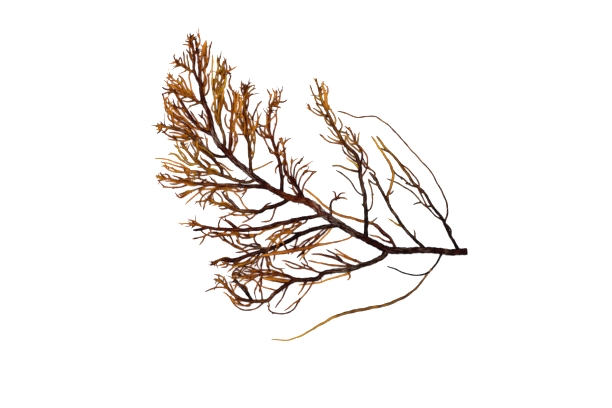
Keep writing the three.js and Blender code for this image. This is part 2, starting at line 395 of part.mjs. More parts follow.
shoot("lower_mid_shoot", "main_axis", MID,
  stem([0.95, 1.0, 0.95, 0.8, 0.5], [-11.4, -5.8], [-14.6, -7.9], [-19, -9.6], [-23, -10.6],
    [-26, -12.1], [-31, -12.1], [-36, -11.7], [-40, -10.6], [-44, -8.8], [-48.4, -7.6], [-51.8, -5.4]),
  twig([0.4, 0.3], [-25, -11.4], [-22.4, -8.9], [-19.6, -7.6]),
  twig([0.45, 0.3], [-16.8, -8.8], [-18.4, -11.4], [-19.2, -14.4], [-21, -16.7], [-25.6, -17.6]),
  twig([0.45, 0.35], [-27, -12.2], [-29.4, -15], [-32, -16.8], [-35.2, -18]),
  twig([0.4, 0.3], [-35.4, -11.8], [-32.6, -14.8], [-30.4, -16.2]),
  twig([0.45, 0.35, 0.5], [-37, -11.5], [-41, -13.9], [-44.8, -15.4], [-46.4, -17.2]),
  twig([0.6, 0.9, 0.35], [-36, -11.6], [-39.4, -8], [-42.4, -5.4], [-45.4, -2]),
  twig([0.4, 0.3], [-41.6, -6], [-42.6, -2.8], [-43.4, -0.8]),
  twig([0.4, 0.3], [-31, -12], [-34.4, -8.2], [-36.5, -4.6], [-39.2, -2.2]),
  twig([0.45, 0.3], [-44.6, -8.6], [-44.8, -5.8], [-46.6, -3.6], [-48.4, -2.4]),
  twig([0.35, 0.25], [-41, -10.2], [-44, -11], [-46.4, -10.6]),
  twig([0.25, 0.12], [-49.4, -7], [-51.3, -9]),
);

shoot("lower_left_shoot", "main_axis", HIGH,
  stem([0.9, 1.0, 1.0, 0.95, 0.8, 0.45], [6, -13.7], [1, -14.9], [-5, -15.8], [-11, -17.2],
    [-17, -18.5], [-22, -20], [-28, -21.1], [-35, -21.5], [-43, -21.2], [-50, -20.6], [-56, -19.1],
    [-61, -18.9]),
  twig([0.35, 0.12], [-59.4, -18.9], [-63, -18.2], [-65.5, -19]),
  twig([0.35, 0.15], [-55, -19.3], [-58.6, -17], [-62.2, -16.2]),
  twig([0.4, 0.75, 0.6], [-51.6, -20.4], [-55.4, -21.2], [-59.4, -21.5]),
  twig([0.4, 0.25], [-51, -20.4], [-50.4, -22.8], [-54, -24.6], [-58.9, -25.9]),
  twig([0.25, 0.12], [-53.4, -24.4], [-54.2, -26.6], [-56, -29.2]),
  twig([0.5, 0.3], [-46, -21], [-46.2, -18.6], [-45.4, -16.4]),
  twig([0.6, 0.85, 0.4], [-36.4, -21.4], [-39, -19.2], [-42, -17.2], [-44.4, -16.3]),
  twig([0.45, 0.3], [-1.6, -15.2], [-3.2, -17.8], [-8, -19.4], [-12.6, -21.8], [-17, -24.4],
    [-20, -27.4], [-22.2, -30.4]),
  twig([0.5, 0.35], [-6.6, -16.2], [-10, -20], [-13.6, -22.4]),
  twig([0.4, 0.3], [-13, -17.6], [-14.2, -20.6], [-15.4, -23], [-15.6, -25.8], [-13.6, -28.6]),
  twig([0.35, 0.2], [-18.8, -26.2], [-22.2, -25.7]),
  twig([0.35, 0.2], [-18.8, -26.2], [-17.4, -28.4], [-16, -29.6]),
  twig([0.5, 0.4], [-22, -20.2], [-25.4, -23.1], [-30, -23.8], [-36, -23.6], [-41, -23.6],
    [-46.4, -22.8]),
  twig([0.4, 0.3], [-27.6, -23.3], [-28.6, -25.6], [-27.4, -28.2], [-26.2, -29.8]),
  twig([0.35, 0.25], [-33.6, -23.6], [-31, -24.8], [-29.8, -25.6]),
  twig([0.4, 0.3], [-41, -23.4], [-39.8, -26], [-38.6, -29.7]),
  twig([0.4, 0.3], [-37.6, -23.5], [-36.4, -26.4], [-35.6, -28.6]),
);

shoot("lower_shoot", "main_axis", MID,
  stem([1.05, 0.95, 1.0, 0.95, 0.85, 0.95, 0.4], [14.6, -19], [10, -19.3], [4, -20.4], [-2, -22.1],
    [-7, -24.4], [-12, -27.2], [-18, -29.9], [-24, -32], [-30, -33.6], [-35, -35.4], [-40, -36.9],
    [-45, -36.4], [-50.5, -39.2]),
  twig([0.5, 0.35], [-3.6, -22.7], [-8, -22.9], [-11.4, -22.9], [-13.2, -21.8]),
  twig([0.65, 0.45], [-20.6, -30.9], [-25, -30.7], [-31, -29.4], [-35.8, -28.4], [-38, -26]),
  twig([0.45, 0.35], [-30.6, -33.7], [-34.6, -31.2], [-39, -28.6], [-43.4, -27], [-47.6, -23.6],
    [-52, -22.6]),
  twig([0.25, 0.12], [-25.6, -30.7], [-26.1, -28.2]),
  twig([0.45, 0.6, 0.5], [9.6, -19.5], [5.6, -23.4], [1, -27.2], [-2.6, -30.6], [-5.6, -33.6],
    [-7.6, -35.6]),
  twig([0.4, 0.35], [8, -19.8], [4.4, -22.6], [-0.2, -26], [-3.4, -28.8], [-4.2, -31.6]),
  blade([0.45, 0.4], [11, -19.5], [8.4, -22.6], [3.6, -27.3], [-0.8, -31], [-4, -34.4], [-6.4, -37.2]),
  twig([0.45, 0.35], [-6.6, -24.3], [-7.6, -28], [-9, -31.8], [-10.2, -34]),
  twig([0.45, 0.35], [-14, -28.2], [-12.2, -31.8], [-11.2, -34]),
  twig([0.3, 0.2], [-4.2, -31.8], [-3.6, -35.4], [-1.6, -39.3]),
  twig([0.35, 0.3], [-23, -31.7], [-24.6, -37], [-25.4, -41.6]),
  twig([0.35, 0.25], [-22.4, -31.6], [-22, -37.4], [-21, -42.6]),
  twig([0.3, 0.2], [-21.9, -38], [-18.6, -40.2], [-14, -42]),
  twig([0.45, 0.4], [-18.6, -30.2], [-18.4, -34], [-19, -37.3]),
  twig([0.6, 0.4], [-25.4, -32.6], [-28.8, -36.9], [-33, -38.9], [-38.6, -41]),
  twig([0.5, 0.3], [-39.4, -36.8], [-43.4, -35.2], [-47.6, -36.9], [-49.8, -38]),
  twig([0.45, 0.35], [-42.4, -36.8], [-43.6, -38.6], [-46.2, -38.8]),
  twig([0.45, 0.35], [-41.4, -36.9], [-42.4, -39.6], [-45.5, -40.3]),
  twig([0.35, 0.3], [-36, -35.9], [-38.6, -38.8], [-39.8, -40.4]),
);

shoot("broad_blade", "main_axis", HIGH,
  blade([0.5, 0.45, 0.55, 0.95, 1.05, 0.9, 0.3], [21.6, -24.4], [17, -26.3], [11, -27.7], [4, -28.9],
    [-3, -30.5], [-10, -31.8], [-17, -33], [-25, -34.2]),
);

shoot("low_branch", "main_axis", LOW,
  stem([1.35, 1.15, 1.15, 1.1, 1.05, 0.95, 0.85, 0.8, 0.5], [38, -31.6], [36, -34.4], [32, -37],
    [26, -39], [20, -41.1], [13, -42], [6.6, -42.9], [2.6, -46], [-4, -46.5], [-9, -47], [-14, -50],
    [-18.6, -53.6], [-22.4, -56.9], [-28, -57.3], [-34, -56.5], [-39, -54], [-42.2, -50.4],
    [-45.6, -47.6], [-49.2, -46.4]),
  blade([0.65, 0.5, 0.3], [26.6, -38.8], [21, -36.3], [16, -33.6], [11.2, -30.7]),
  blade([0.6, 0.35], [22.4, -37], [17, -35.2], [12.2, -33.2]),
  blade([0.4, 0.75, 0.35], [23, -40.1], [17, -38.2], [12.6, -36], [6, -34], [-0.4, -33.6]),
  blade([0.5, 0.55, 0.35], [22, -40.4], [19, -39.6], [11, -39.2], [4, -37.9], [-2, -36.8]),
  blade([0.55, 0.4], [20, -41.2], [18, -43.4], [11, -45.5], [3, -48], [-4, -48.8], [-7, -49.2]),
  twig([0.35, 0.25], [18.6, -42.6], [19.2, -45], [17.7, -47]),
  twig([0.5, 0.4], [6.6, -43], [1, -41.9], [-4, -40.4], [-9.4, -38.2], [-15.2, -36.7]),
  twig([0.4, 0.3], [2.4, -46.2], [-3, -53.4], [-9, -58.6], [-13.8, -62.2]),
  twig([0.35, 0.2], [-5.6, -55.8], [-9.4, -61.6], [-14.4, -63.5], [-19, -62.9], [-21.4, -61],
    [-20.8, -58.4]),
  blade([0.55, 0.4], [-2.6, -46.5], [-5, -51.4], [-7, -54.6]),
  twig([0.35, 0.2], [-11.4, -48.4], [-15, -56], [-18.4, -61]),
  twig([0.4, 0.25], [-16.6, -52], [-20.6, -51], [-25.4, -49.6]),
  twig([0.85, 0.7, 0.6, 0.5], [-7, -46.8], [-12, -44.6], [-18, -43.4], [-26, -44.2], [-34, -45],
    [-40.4, -46]),
  twig([0.5, 0.35], [-22, -43.7], [-28, -42.5], [-34, -42.2]),
  blade([0.5, 1.1, 1.0, 0.4], [-7.6, -46.8], [-13, -47.1], [-19, -46.2], [-25, -45.6]),
  twig([0.4, 0.35], [-24.6, -44.1], [-26.6, -48], [-29, -53.6]),
  twig([0.35, 0.25], [-27, -44.3], [-31.4, -47.4], [-33.8, -48.4]),
  twig([0.4, 0.75, 0.6], [-34.4, -45], [-37, -43.4], [-40, -43.6]),
  twig([0.5, 0.95, 0.85, 0.45], [-29.6, -57.2], [-32, -53.6], [-35.4, -49.6], [-39.4, -46.8]),
  twig([0.45, 0.35], [-38.8, -54], [-40.2, -50], [-41.2, -47.6]),
  twig([0.35, 0.25], [-42, -50.6], [-43.2, -46.8], [-45.4, -44.6], [-49.2, -43.8]),
);

shoot("long_ribbon", "main_axis", LOW,
  stem([0.55, 0.5], [66, -33.4], [62.6, -38.4], [58.9, -42.6]),
  blade([0.45, 0.75, 0.85, 0.6, 0.35], [58.9, -42.6], [56.9, -45.2], [52.9, -50.3], [48.9, -53.6],
    [43.5, -56.6], [36.2, -59.3], [24.8, -61.5], [14, -64.1], [6, -68], [-0.7, -72], [-7.4, -75.4],
    [-12.7, -76.7], [-20.8, -76.2]),
  thread([0.35, 0.25], [58.9, -42.6], [54.9, -44.1], [51, -44], [46.2, -42.9], [41.5, -40.9],
    [37.5, -39.4]),
);

// Repeatable random numbers from 0 to 1
function randomFrom(seed) {
  let state = seed;
  return () => {
    state = (state * 16807) % 2147483647;
    return state / 2147483647;
  };
}

const mix = (from, to, part) => from + (to - from) * part;

const ease = (part) => {
  const t = Math.min(1, Math.max(0, part));
  return t * t * (3 - 2 * t);
};

// The radius at a fraction of the way along a strand
function girthAt(girths, along) {
  const place = along * (girths.length - 1);
  const index = Math.min(girths.length - 2, Math.floor(place));
  return mix(girths[index], girths[index + 1], place - index);
}

// The point of the placed strands that lies nearest to a spot, seen from above
function nearestRoot(spot, placed) {
  let best = null;
  let least = Infinity;
  for (const { samples } of placed) {
    for (const sample of samples) {
      const away = Math.hypot(sample.x - spot[0], sample.y - spot[1]);
      if (away < least) {
        least = away;
        best = sample;
      }
    }
  }
  return best;
}

// Gives a strand its curve: the root sits on what it grows from, and the height eases to its layer
function place(strand, onto, level, random) {
  const points = strand.route.map(([x, y, z]) => new THREE.Vector3(x, y, z ?? NaN));
  if (onto.length > 0) {
    points[0].copy(nearestRoot(strand.route[0], onto));
  }
  const way = [0];
  for (let i = 1; i < points.length; i++) {
    const step = Math.hypot(points[i].x - points[i - 1].x, points[i].y - points[i - 1].y);
    way.push(way[i - 1] + step);
  }
  const length = way[way.length - 1];
  const isStem = strand.kind === STEM;
  const [down, up] = TIP_REACH[level];
  const tip = level + mix(down, up, random());
  const end = level === LOW ? TOUCH : level;
  points.forEach((point, i) => {
    if (Number.isNaN(point.z)) {
      const settled = mix(level, end, ease((way[i] - length / 2) / (length / 2)));
      const stemHeight = mix(points[0].z, settled, ease(way[i] / RISE));
      point.z = isStem ? stemHeight : mix(points[0].z, tip, ease(way[i] / length));
    }
  });
  const curve = new THREE.CatmullRomCurve3(points, false, "catmullrom", 0.5);
  const joints = Math.max(2, Math.round(length / strand.kind.joint));
  return { ...strand, curve, joints, samples: rootSpots(curve, joints) };
}

// The spots along a strand's straight joints where others may take root, short of its thin tip
function rootSpots(curve, joints) {
  const centres = curve.getSpacedPoints(joints);
  const spots = [];
  for (let i = 0; i < joints; i++) {
    const steps = Math.ceil(centres[i].distanceTo(centres[i + 1]) / ROOT_SPACING);
    const last = i === joints - 1 ? steps / 2 : steps;
    for (let k = 0; k < last; k++) {
      spots.push(centres[i].clone().lerp(centres[i + 1], k / steps));
    }
  }
  return spots;
}

// A thin twig that leaves a strand and then runs beside it, as they do in a bundle
function beside({ curve }, random) {
  const length = curve.getLength();
  const reach = Math.min(mix(...BESIDE_LENGTH, random()), BESIDE_SHARE * length) / length;
  const start = mix(BESIDE_MARGIN, 1 - BESIDE_MARGIN - reach, random());
  const side = random() < 0.5 ? 1 : -1;
  const offset = side * mix(...BESIDE_OFFSET, random());
  const lift = mix(...BESIDE_LIFT, random());
  const last = BESIDE_SPREAD.length - 1;
  const route = BESIDE_SPREAD.map((spread, i) => {
    const along = start + (reach * i) / last;
    const centre = curve.getPointAt(along);
    const ahead = curve.getPointAt(along + STEP).sub(curve.getPointAt(along - STEP));
    const away = (offset * spread) / Math.hypot(ahead.x, ahead.y);
    return [centre.x - ahead.y * away, centre.y + ahead.x * away, centre.z + (lift * i) / last];
  });
  return thread(BESIDE_GIRTHS, ...route);
}

// Whether a strand keeps its distance from all of the others
function isClear({ samples }, others) {
  return samples.every((sample) => others.every((other) => sample.distanceTo(other) > CLEARANCE));
}

// The solid of one strand: a cylinder bent along its curve, pointed at the tip unless it was cut
function strandSolid({ kind, girths, curve, joints }, blunt = false, extra = 0) {
  const geometry = new THREE.CylinderGeometry(blunt ? 1 : 0, 1, 1, kind.sides, joints);
  const up = new THREE.Vector3(0, 0, 1);
  const position = geometry.attributes.position;
  for (let i = 0; i < position.count; i++) {
    const ring = Math.round((position.getY(i) + 0.5) * joints);
    const along = ring / joints;
    const centre = curve.getPointAt(along);
    const ahead = curve.getTangentAt(along);
    const side = new THREE.Vector3().crossVectors(up, ahead).normalize();
    const over = new THREE.Vector3().crossVectors(ahead, side);
    const radius = Math.max(THINNEST, girthAt(girths, along)) * FULLNESS[kind.sides];
    const thickness = Math.max(THINNEST * FULLNESS[kind.sides], radius * kind.flatness);
    const x = position.getX(i);
    const z = position.getZ(i);
    const reach = Math.hypot(x, z);
    if (reach > 1e-6) {
      centre.addScaledVector(over, (x / reach) * (thickness + extra));
      centre.addScaledVector(side, (z / reach) * (radius + extra));
    }
    if (blunt && (ring === 0 || ring === joints)) {
      centre.addScaledVector(ahead, ring === 0 ? -extra : extra);
    }
    position.setXYZ(i, centre.x, centre.y, centre.z);
  }
  return solidOf(geometry);
}

// A closed mesh as a solid that can be joined and cut
function solidOf(geometry) {
  geometry.deleteAttribute("normal");
  geometry.deleteAttribute("uv");
  const merged = mergeVertices(geometry, 1e-4);
  const vertProperties = new Float32Array(merged.attributes.position.array);
  const triVerts = new Uint32Array(merged.index.array);
  return new wasm.Manifold(new wasm.Mesh({ numProp: 3, vertProperties, triVerts }));
}

// A solid as a mesh again
function meshOf(solid, name, material) {
  const { vertProperties, triVerts } = solid.getMesh();
  const geometry = new THREE.BufferGeometry();
  geometry.setAttribute("position", new THREE.BufferAttribute(vertProperties, 3));
  geometry.setIndex(new THREE.BufferAttribute(triVerts, 1));
  geometry.computeVertexNormals();
  const mesh = new THREE.Mesh(geometry, material);
  mesh.name = name;
  return mesh;
}

const join = (solids) => solids.reduce((whole, solid) => whole.add(solid));

// The ground, which presses the lowest undersides flat
const block = new THREE.BoxGeometry(2 * GROUND_REACH, 2 * GROUND_REACH, GROUND_DEPTH);
const ground = solidOf(block.translate(0, 0, -GROUND_DEPTH / 2));

const stipe = new THREE.MeshStandardMaterial({ color: 0x2b1c14, roughness: 0.5, metalness: 0 });
const dark = new THREE.MeshStandardMaterial({ color: 0x43291a, roughness: 0.55, metalness: 0 });
const amber = new THREE.MeshStandardMaterial({ color: 0x9a5d1c, roughness: 0.5, metalness: 0 });
const AMBER_SHOOTS = ["strap_shoot", "broad_blade", "long_ribbon"];

const frond = new THREE.Group();
const random = randomFrom(7);
const axisStrand = place(axis, [], MID, random);
const placed = { main_axis: [axisStrand] };
frond.add(meshOf(strandSolid(axisStrand, true).subtract(ground), "main_axis", stipe));

for (const [name, { parent, level, strands }] of Object.entries(shoots)) {
  placed[name] = [];
  for (const strand of strands) {
    const onto = placed[name].length > 0 ? placed[name] : placed[parent];
    placed[name].push(place(strand, onto, level, random));
  }
}

for (const [name, count] of Object.entries(BESIDE)) {
  const hosts = placed[name].filter(({ curve }) => curve.getLength() > BESIDE_HOST);
  const rest = Object.keys(placed).filter((other) => other !== name);
  const others = rest.flatMap((other) => placed[other].flatMap(({ samples }) => samples));
  for (let i = 0; i < count; i++) {
    const host = hosts[Math.floor(random() * hosts.length)];
    const strand = place(beside(host, random), [host], shoots[name].level, random);
    if (isClear(strand, others)) {
      placed[name].push(strand);
    }
  }
}

for (const [name, { parent }] of Object.entries(shoots)) {
  const solid = join(placed[name].map((strand) => strandSolid(strand)));
  const holders = placed[parent].filter(({ kind }) => kind === STEM);
  const cut = join(holders.map((strand) => strandSolid(strand, true, GAP)));
  const material = AMBER_SHOOTS.includes(name) ? amber : dark;
  frond.add(meshOf(solid.subtract(cut).subtract(ground), name, material));
}

// The origin lies on the ground under the middle of the frond
const middle = new THREE.Box3().setFromObject(frond).getCenter(new THREE.Vector3());
frond.position.set(-middle.x, -middle.y, 0);

export default frond;
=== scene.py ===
"""A dried frond of cystoseira seaweed, lying flat on a white surface and seen from above."""

import json
import math

import bpy
import numpy as np
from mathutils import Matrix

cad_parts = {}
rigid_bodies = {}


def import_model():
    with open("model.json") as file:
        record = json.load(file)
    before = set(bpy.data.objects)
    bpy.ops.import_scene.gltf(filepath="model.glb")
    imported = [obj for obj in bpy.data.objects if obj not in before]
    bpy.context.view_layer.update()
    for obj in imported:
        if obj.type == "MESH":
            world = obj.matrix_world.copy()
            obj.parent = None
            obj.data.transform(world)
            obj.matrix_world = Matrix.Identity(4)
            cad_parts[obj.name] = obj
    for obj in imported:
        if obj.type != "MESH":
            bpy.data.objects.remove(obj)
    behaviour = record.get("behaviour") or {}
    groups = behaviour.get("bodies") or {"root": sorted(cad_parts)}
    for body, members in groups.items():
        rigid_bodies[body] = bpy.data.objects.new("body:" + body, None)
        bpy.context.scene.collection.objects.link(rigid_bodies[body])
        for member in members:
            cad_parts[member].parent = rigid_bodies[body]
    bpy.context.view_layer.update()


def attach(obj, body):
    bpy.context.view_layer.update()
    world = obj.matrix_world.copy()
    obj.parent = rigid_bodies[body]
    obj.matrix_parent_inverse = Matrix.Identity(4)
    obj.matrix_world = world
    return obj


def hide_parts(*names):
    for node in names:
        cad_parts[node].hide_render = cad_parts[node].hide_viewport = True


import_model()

# Lengths below are in millimetres, and this is one of them in metres
MM = 0.001

# Heights of the three layers that the shoots lie in
LOW = 2.2
MID = 5.2
HIGH = 8.4

# How far a twig's tip may bend down or up from its layer
TIP_REACH = {LOW: (-1.1, 0.7), MID: (-0.7, 0.7), HIGH: (-0.3, 3.6)}

# Length over which a shoot climbs or sinks from the stipe to its own layer
RISE = 13

# Height to which the far end of a low shoot sinks
TOUCH = 0.35

# Spacing of the points at which a strand may take root on another
ROOT_SPACING = 0.7

# A kind of strand: the length of a straight joint of its plain form, then the sides, thickness over
# width and twist of its round form. Its tone follows its girth, and paler adds to that, tone_range
# says how much it differs from strand to strand, and outward how much it rises from root to tip.
# The last number is the share that ends in prongs.
TWIG = {
    "joint": 4.8,
    "sides": 10,
    "flatness": 0.85,
    "twist": 0.3,
    "paler": 0.0,
    "tone_range": (-0.22, 0.16),
    "outward": 0.2,
    "pronged": 0.35,
}
STEM = {
    **TWIG,
    "joint": 4.6,
    "sides": 16,
    "flatness": 0.92,
    "twist": 0.0,
    "tone_range": (-0.06, 0.06),
    "pronged": 0.5,
}
THREAD = {**TWIG, "joint": 5, "sides": 8, "flatness": 0.8, "paler": 0.05, "pronged": 0.08}
BLADE = {
    **TWIG,
    "sides": 12,
    "flatness": 0.4,
    "twist": 0.35,
    "paler": 0.55,
    "outward": 0.4,
    "pronged": 0,
}

# How much darker than its kind a shaded strand is
SHADED = -0.38


def strand(kind, girths, route):
    """A strand lists its radii, evenly spaced from root to tip, and its route, root first."""
    return {"kind": kind, "girths": girths, "route": route}


def stem(girths, *route):
    return strand(STEM, girths, route)


def twig(girths, *route):
    return strand(TWIG, girths, route)


def thread(girths, *route):
    return strand(THREAD, girths, route)


def blade(girths, *route):
    return strand(BLADE, girths, route)


def bare(one):
    """Marks a strand that stands alone, with no finer twigs beside it."""
    return {**one, "bare": True}


def shaded(one):
    """Marks a strand that is darker than others of its kind."""
    return {**one, "paler": SHADED}


# Every shoot by name: the piece it grows from, its layer and its strands, the stem first
shoots = {}


def shoot(name, parent, level, *strands):
    shoots[name] = {"parent": parent, "level": level, "strands": strands}


# The stipe, from its cut end to where the crown takes over
stipe_strand = stem(
    [1.65, 1.5, 1.5, 1.65, 1.6, 1.6, 1.65, 1.8, 1.6, 1.3, 1.35, 1.4, 1.3, 1.15, 1.1],
    [78.2, -32.3, 1.35], [74, -32.6, 1.5], [70, -32.7, 1.9], [65, -32.2, 2.6], [60, -31.6, 3.3],
    [55, -31.6, 4.0], [50, -31.8, 4.5], [45, -31.9, 4.9], [40, -31.8, 5.1], [37, -31, 5.2],
    [34, -29.6, 5.2], [30, -27.6, 5.2], [26, -25.3, 5.2], [22, -23.6, 5.2], [18, -21.1, 5.2],
    [14, -18.6, 5.2], [10, -16.3, 5.2], [5.5, -13.3, 5.2], [3, -10.8, 5.2], [0, -8.4, 5.2],
    [-4, -6.8, 5.2], [-8, -6.1, 5.2], [-12, -4.9, 5.2], [-16, -3.2, 5.2], [-20, -0.9, 5.2],
    [-24, 1.9, 5.2], [-28, 4.6, 5.2], [-32.5, 8.2, 5.2], [-36, 11, 5.2], [-40, 14.6, 5.2],
    [-43.5, 18.4, 5.2], [-47.4, 22.9, 5.2], [-49.5, 28, 5.2], [-50.8, 35, 5.2], [-53.5, 41.5, 5.2],
    [-54.7, 44, 5.2],
)

shoot("whip_shoot", "main_axis", MID,
    stem([0.8, 0.65], [74, -31.5], [71.5, -28], [69.3, -24], [67.2, -20], [66, -17], [64.5, -14.5],
        [62, -11.7], [60, -9.3], [57.6, -4.6], [54, -0.5]),
    thread([0.55, 0.45, 0.4, 0.35, 0.3], [66.3, -17.5], [67.6, -14.5], [68, -11], [67.3, -7], [65, -2],
        [62, 3.6], [59, 8.5], [53, 15], [45, 24], [40, 29.5], [35.5, 33], [32, 35.2], [28, 35.3],
        [24, 34.8], [20, 35.6, 6.2], [16, 37.2, 7.4], [12.5, 38, 8.2]),
    blade([0.75, 0.7, 0.6], [53.8, -0.6], [51.3, 1.8], [48.5, 5.7], [45.5, 9.8], [42, 14.5], [38, 18.5],
        [35, 22], [32.3, 25.9]),
    thread([0.35, 0.3], [54.3, -0.5], [53.6, 2.5], [51, 6], [48, 9.2], [44.5, 12]),
    twig([0.5, 0.45], [53, 0], [50, 0.8], [47.5, 2.6], [45, 4.8], [43, 5.6]),
    thread([0.3, 0.2], [43.4, 5.5], [42, 7], [41, 8.8]),
    twig([0.3, 0.2], [49, 1.2], [46.6, 1.7]),
    twig([0.45, 0.3], [60.3, -9.8], [58, -9.5], [56.3, -7], [54.8, -3.5], [53, -0.8]),
    thread([0.45, 0.2], [65.6, -16.6], [62.5, -14.7], [59, -11.3], [55.3, -8], [52.2, -4.2], [49, -1.6],
        [44, 1.5], [37.2, 4.4]),
    thread([0.25, 0.15], [55, -7.8], [52.8, -8.1], [50.5, -8.9]),
    twig([0.35, 0.3], [69.6, -24.4], [69.7, -22], [68.8, -20], [66.9, -17.8]),
    twig([0.4, 0.3], [39, 17.3], [36.2, 18.6], [34.3, 19.6]),
)

shoot("twin_blade_shoot", "main_axis", HIGH,
    stem([0.8, 0.7], [57.5, -31.2], [54, -28.2], [51, -25.7], [48, -22.3], [45, -18.8], [42, -14],
        [38.8, -9.4], [36.5, -4.5], [33.8, 0.3], [31.8, 4.6], [30.6, 5.8]),
    twig([0.7, 0.6], [31.3, 5.2], [29.8, 6.4], [28.4, 7.4]),
    thread([0.3, 0.2], [52, -26.6], [51.6, -23.5], [50.8, -20.8]),
    blade([0.6, 0.4], [45.4, -20.4], [42.5, -18.6], [39.5, -16.6], [37.7, -15.3]),
    blade([0.65, 0.7, 0.5], [38.1, -7.9], [38.1, -4], [39.4, -0.5], [40.5, 4], [40.8, 7], [39.3, 11],
        [36.5, 15.8], [33.5, 20], [29.7, 25.8]),
    thread([0.3, 0.2], [38.3, -4], [39.8, -3.2], [41, -1.5]),
    twig([0.4, 0.3], [33.6, 0.4], [30.5, 2], [27.8, 4.4]),
    twig([0.4, 0.3], [32, 4.8], [31.4, 7], [28.5, 9.8], [26.5, 12], [25.7, 14.5]),
)

shoot("strap_shoot", "main_axis", LOW,
    blade([0.7, 0.75, 0.65, 0.5], [42.3, -30.5], [40.3, -27], [36, -22.5], [32, -19, 2.4],
        [27.5, -17.6, 2.3], [20, -15.6, 2.2], [13, -13.6, 2.2], [8, -10.5, 2.2], [3.5, -6.5],
        [-1, -2.6], [-4, -0.6]),
    twig([0.35, 0.3], [38.5, -25.2], [35.3, -23.2], [33, -20.6, 2.6], [31, -18.9, 2.4]),
    blade([0.55, 0.4], [41.2, -28.2], [38.2, -27.3], [36, -26.6], [33, -24.9], [28.8, -23.8]),
)

shoot("right_shoot", "main_axis", MID,
    stem([1.0, 0.95, 0.85, 0.6], [27.6, -25.5], [27.4, -20], [27.4, -15], [27, -9], [26.6, -4],
        [25.4, 1], [24.4, 6], [24.2, 11], [22.6, 15.5], [19.5, 18.9], [16.6, 21.6], [14, 25.8],
        [11.4, 30.2], [9, 35.4], [6.6, 40.4], [4.7, 45], [3.6, 50]),
    twig([0.55, 0.45], [24.3, 10.5], [25.3, 14], [25.3, 17], [23, 21.2], [21, 24.8], [19.3, 28.4],
        [17.6, 29.8], [16.2, 30.7]),
    twig([0.3, 0.2], [19.4, 28], [18.9, 30.4]),
    twig([0.3, 0.25], [21.6, 23.2], [21.9, 25.6], [21.4, 27.3]),
    thread([0.25, 0.15], [23, 21.4], [23.4, 24.5], [24, 27.8]),
    twig([0.5, 0.2], [17, 21.4], [13, 21.9], [9.5, 22.3], [6.8, 23.9], [4, 26.7]),
    twig([0.6, 0.35], [16, 22.2], [12.3, 23.2], [9.5, 24.5], [7.6, 26]),
    twig([0.6, 0.3], [8.8, 35], [5.8, 36.2], [3, 38.4], [0.2, 39.8]),
    twig([0.45, 0.2], [8, 34.6], [4.5, 35.8], [1, 37.4], [-1, 39], [-3, 39.8]),
    twig([0.25, 0.15], [-1, 39], [-1.6, 42]),
    twig([0.35, 0.2], [11.6, 30.8], [12.1, 33.3], [11.2, 36], [9.2, 39.2], [8.8, 41.5]),
    twig([0.4, 0.3], [11, 29.6], [8.6, 31.2], [7, 33.6], [6.2, 36.5]),
    thread([0.25, 0.15], [14.6, 27.4], [15.3, 30.2], [14.6, 32.8], [13, 35.4]),
    thread([0.3, 0.25], [14.6, 27.6], [17, 27], [19.4, 25.8]),
    blade([0.95, 0.8, 0.4], [7.4, 38.6], [7.3, 42.5], [6.8, 46.5], [5.6, 50.2], [4.4, 52.3]),
    blade([0.75, 0.6, 0.3], [6.4, 40.8], [4.8, 44.5], [4, 48.2], [2.7, 52], [0.4, 55]),
    twig([0.3, 0.15], [5.2, 51], [5.9, 53.4]),
    twig([0.25, 0.15], [3, 51.5], [2.2, 54.8]),
    twig([0.35, 0.2], [7.2, 44.5], [8.2, 48], [8, 50.9]),
    twig([0.4, 0.15], [5, 43], [2.4, 44.6], [0.4, 47.8], [-1, 51.6]),
    twig([0.45, 0.35], [6.3, 40], [3.8, 41.4], [2, 43.6], [1.2, 46]),
    shaded(blade([0.6, 0.5], [24.2, 7.3], [19.5, 8.4], [14.5, 10.4], [9.7, 10.5])),
    blade([0.65, 0.3], [24, 9], [21.5, 11.8], [18.8, 13.8], [17, 15]),
    twig([0.5, 0.3], [23.4, 12], [20, 14.3], [17.3, 16.6], [15.2, 19]),
    shaded(thread([0.4, 0.2], [26.5, -4.6], [23, -2.5], [20, 2], [16, 6.2], [11.8, 8.5])),
    thread([0.25, 0.15], [26.9, -10.2], [24.8, -8.2]),
    twig([0.3, 0.2], [27.4, -19.2], [30, -17.5], [33.3, -15]),
    twig([0.4, 0.35], [27.4, -12.6], [29.8, -10.5], [30.5, -5.5], [29.7, 0], [28.3, 3.7]),
    twig([0.4, 0.3], [24.3, 13], [26, 11.3], [27.6, 8.9]),
)

shoot("curled_twig", "main_axis", HIGH,
    stem([0.6, 0.55], [10, -16.3], [9.7, -12.5], [9.6, -9], [10.8, -6.6], [12.6, -5.8], [14.4, -5.9]),
    twig([0.3, 0.15], [12.4, -5.8], [13.6, -4.4], [15.2, -3.1], [17.6, -3]),
    twig([0.25, 0.12], [14, -5.9], [16.2, -5.6], [18.2, -6.4]),
    twig([0.25, 0.12], [11.6, -6.2], [11.9, -4], [11.4, -2.4], [9.9, -2.5]),
)

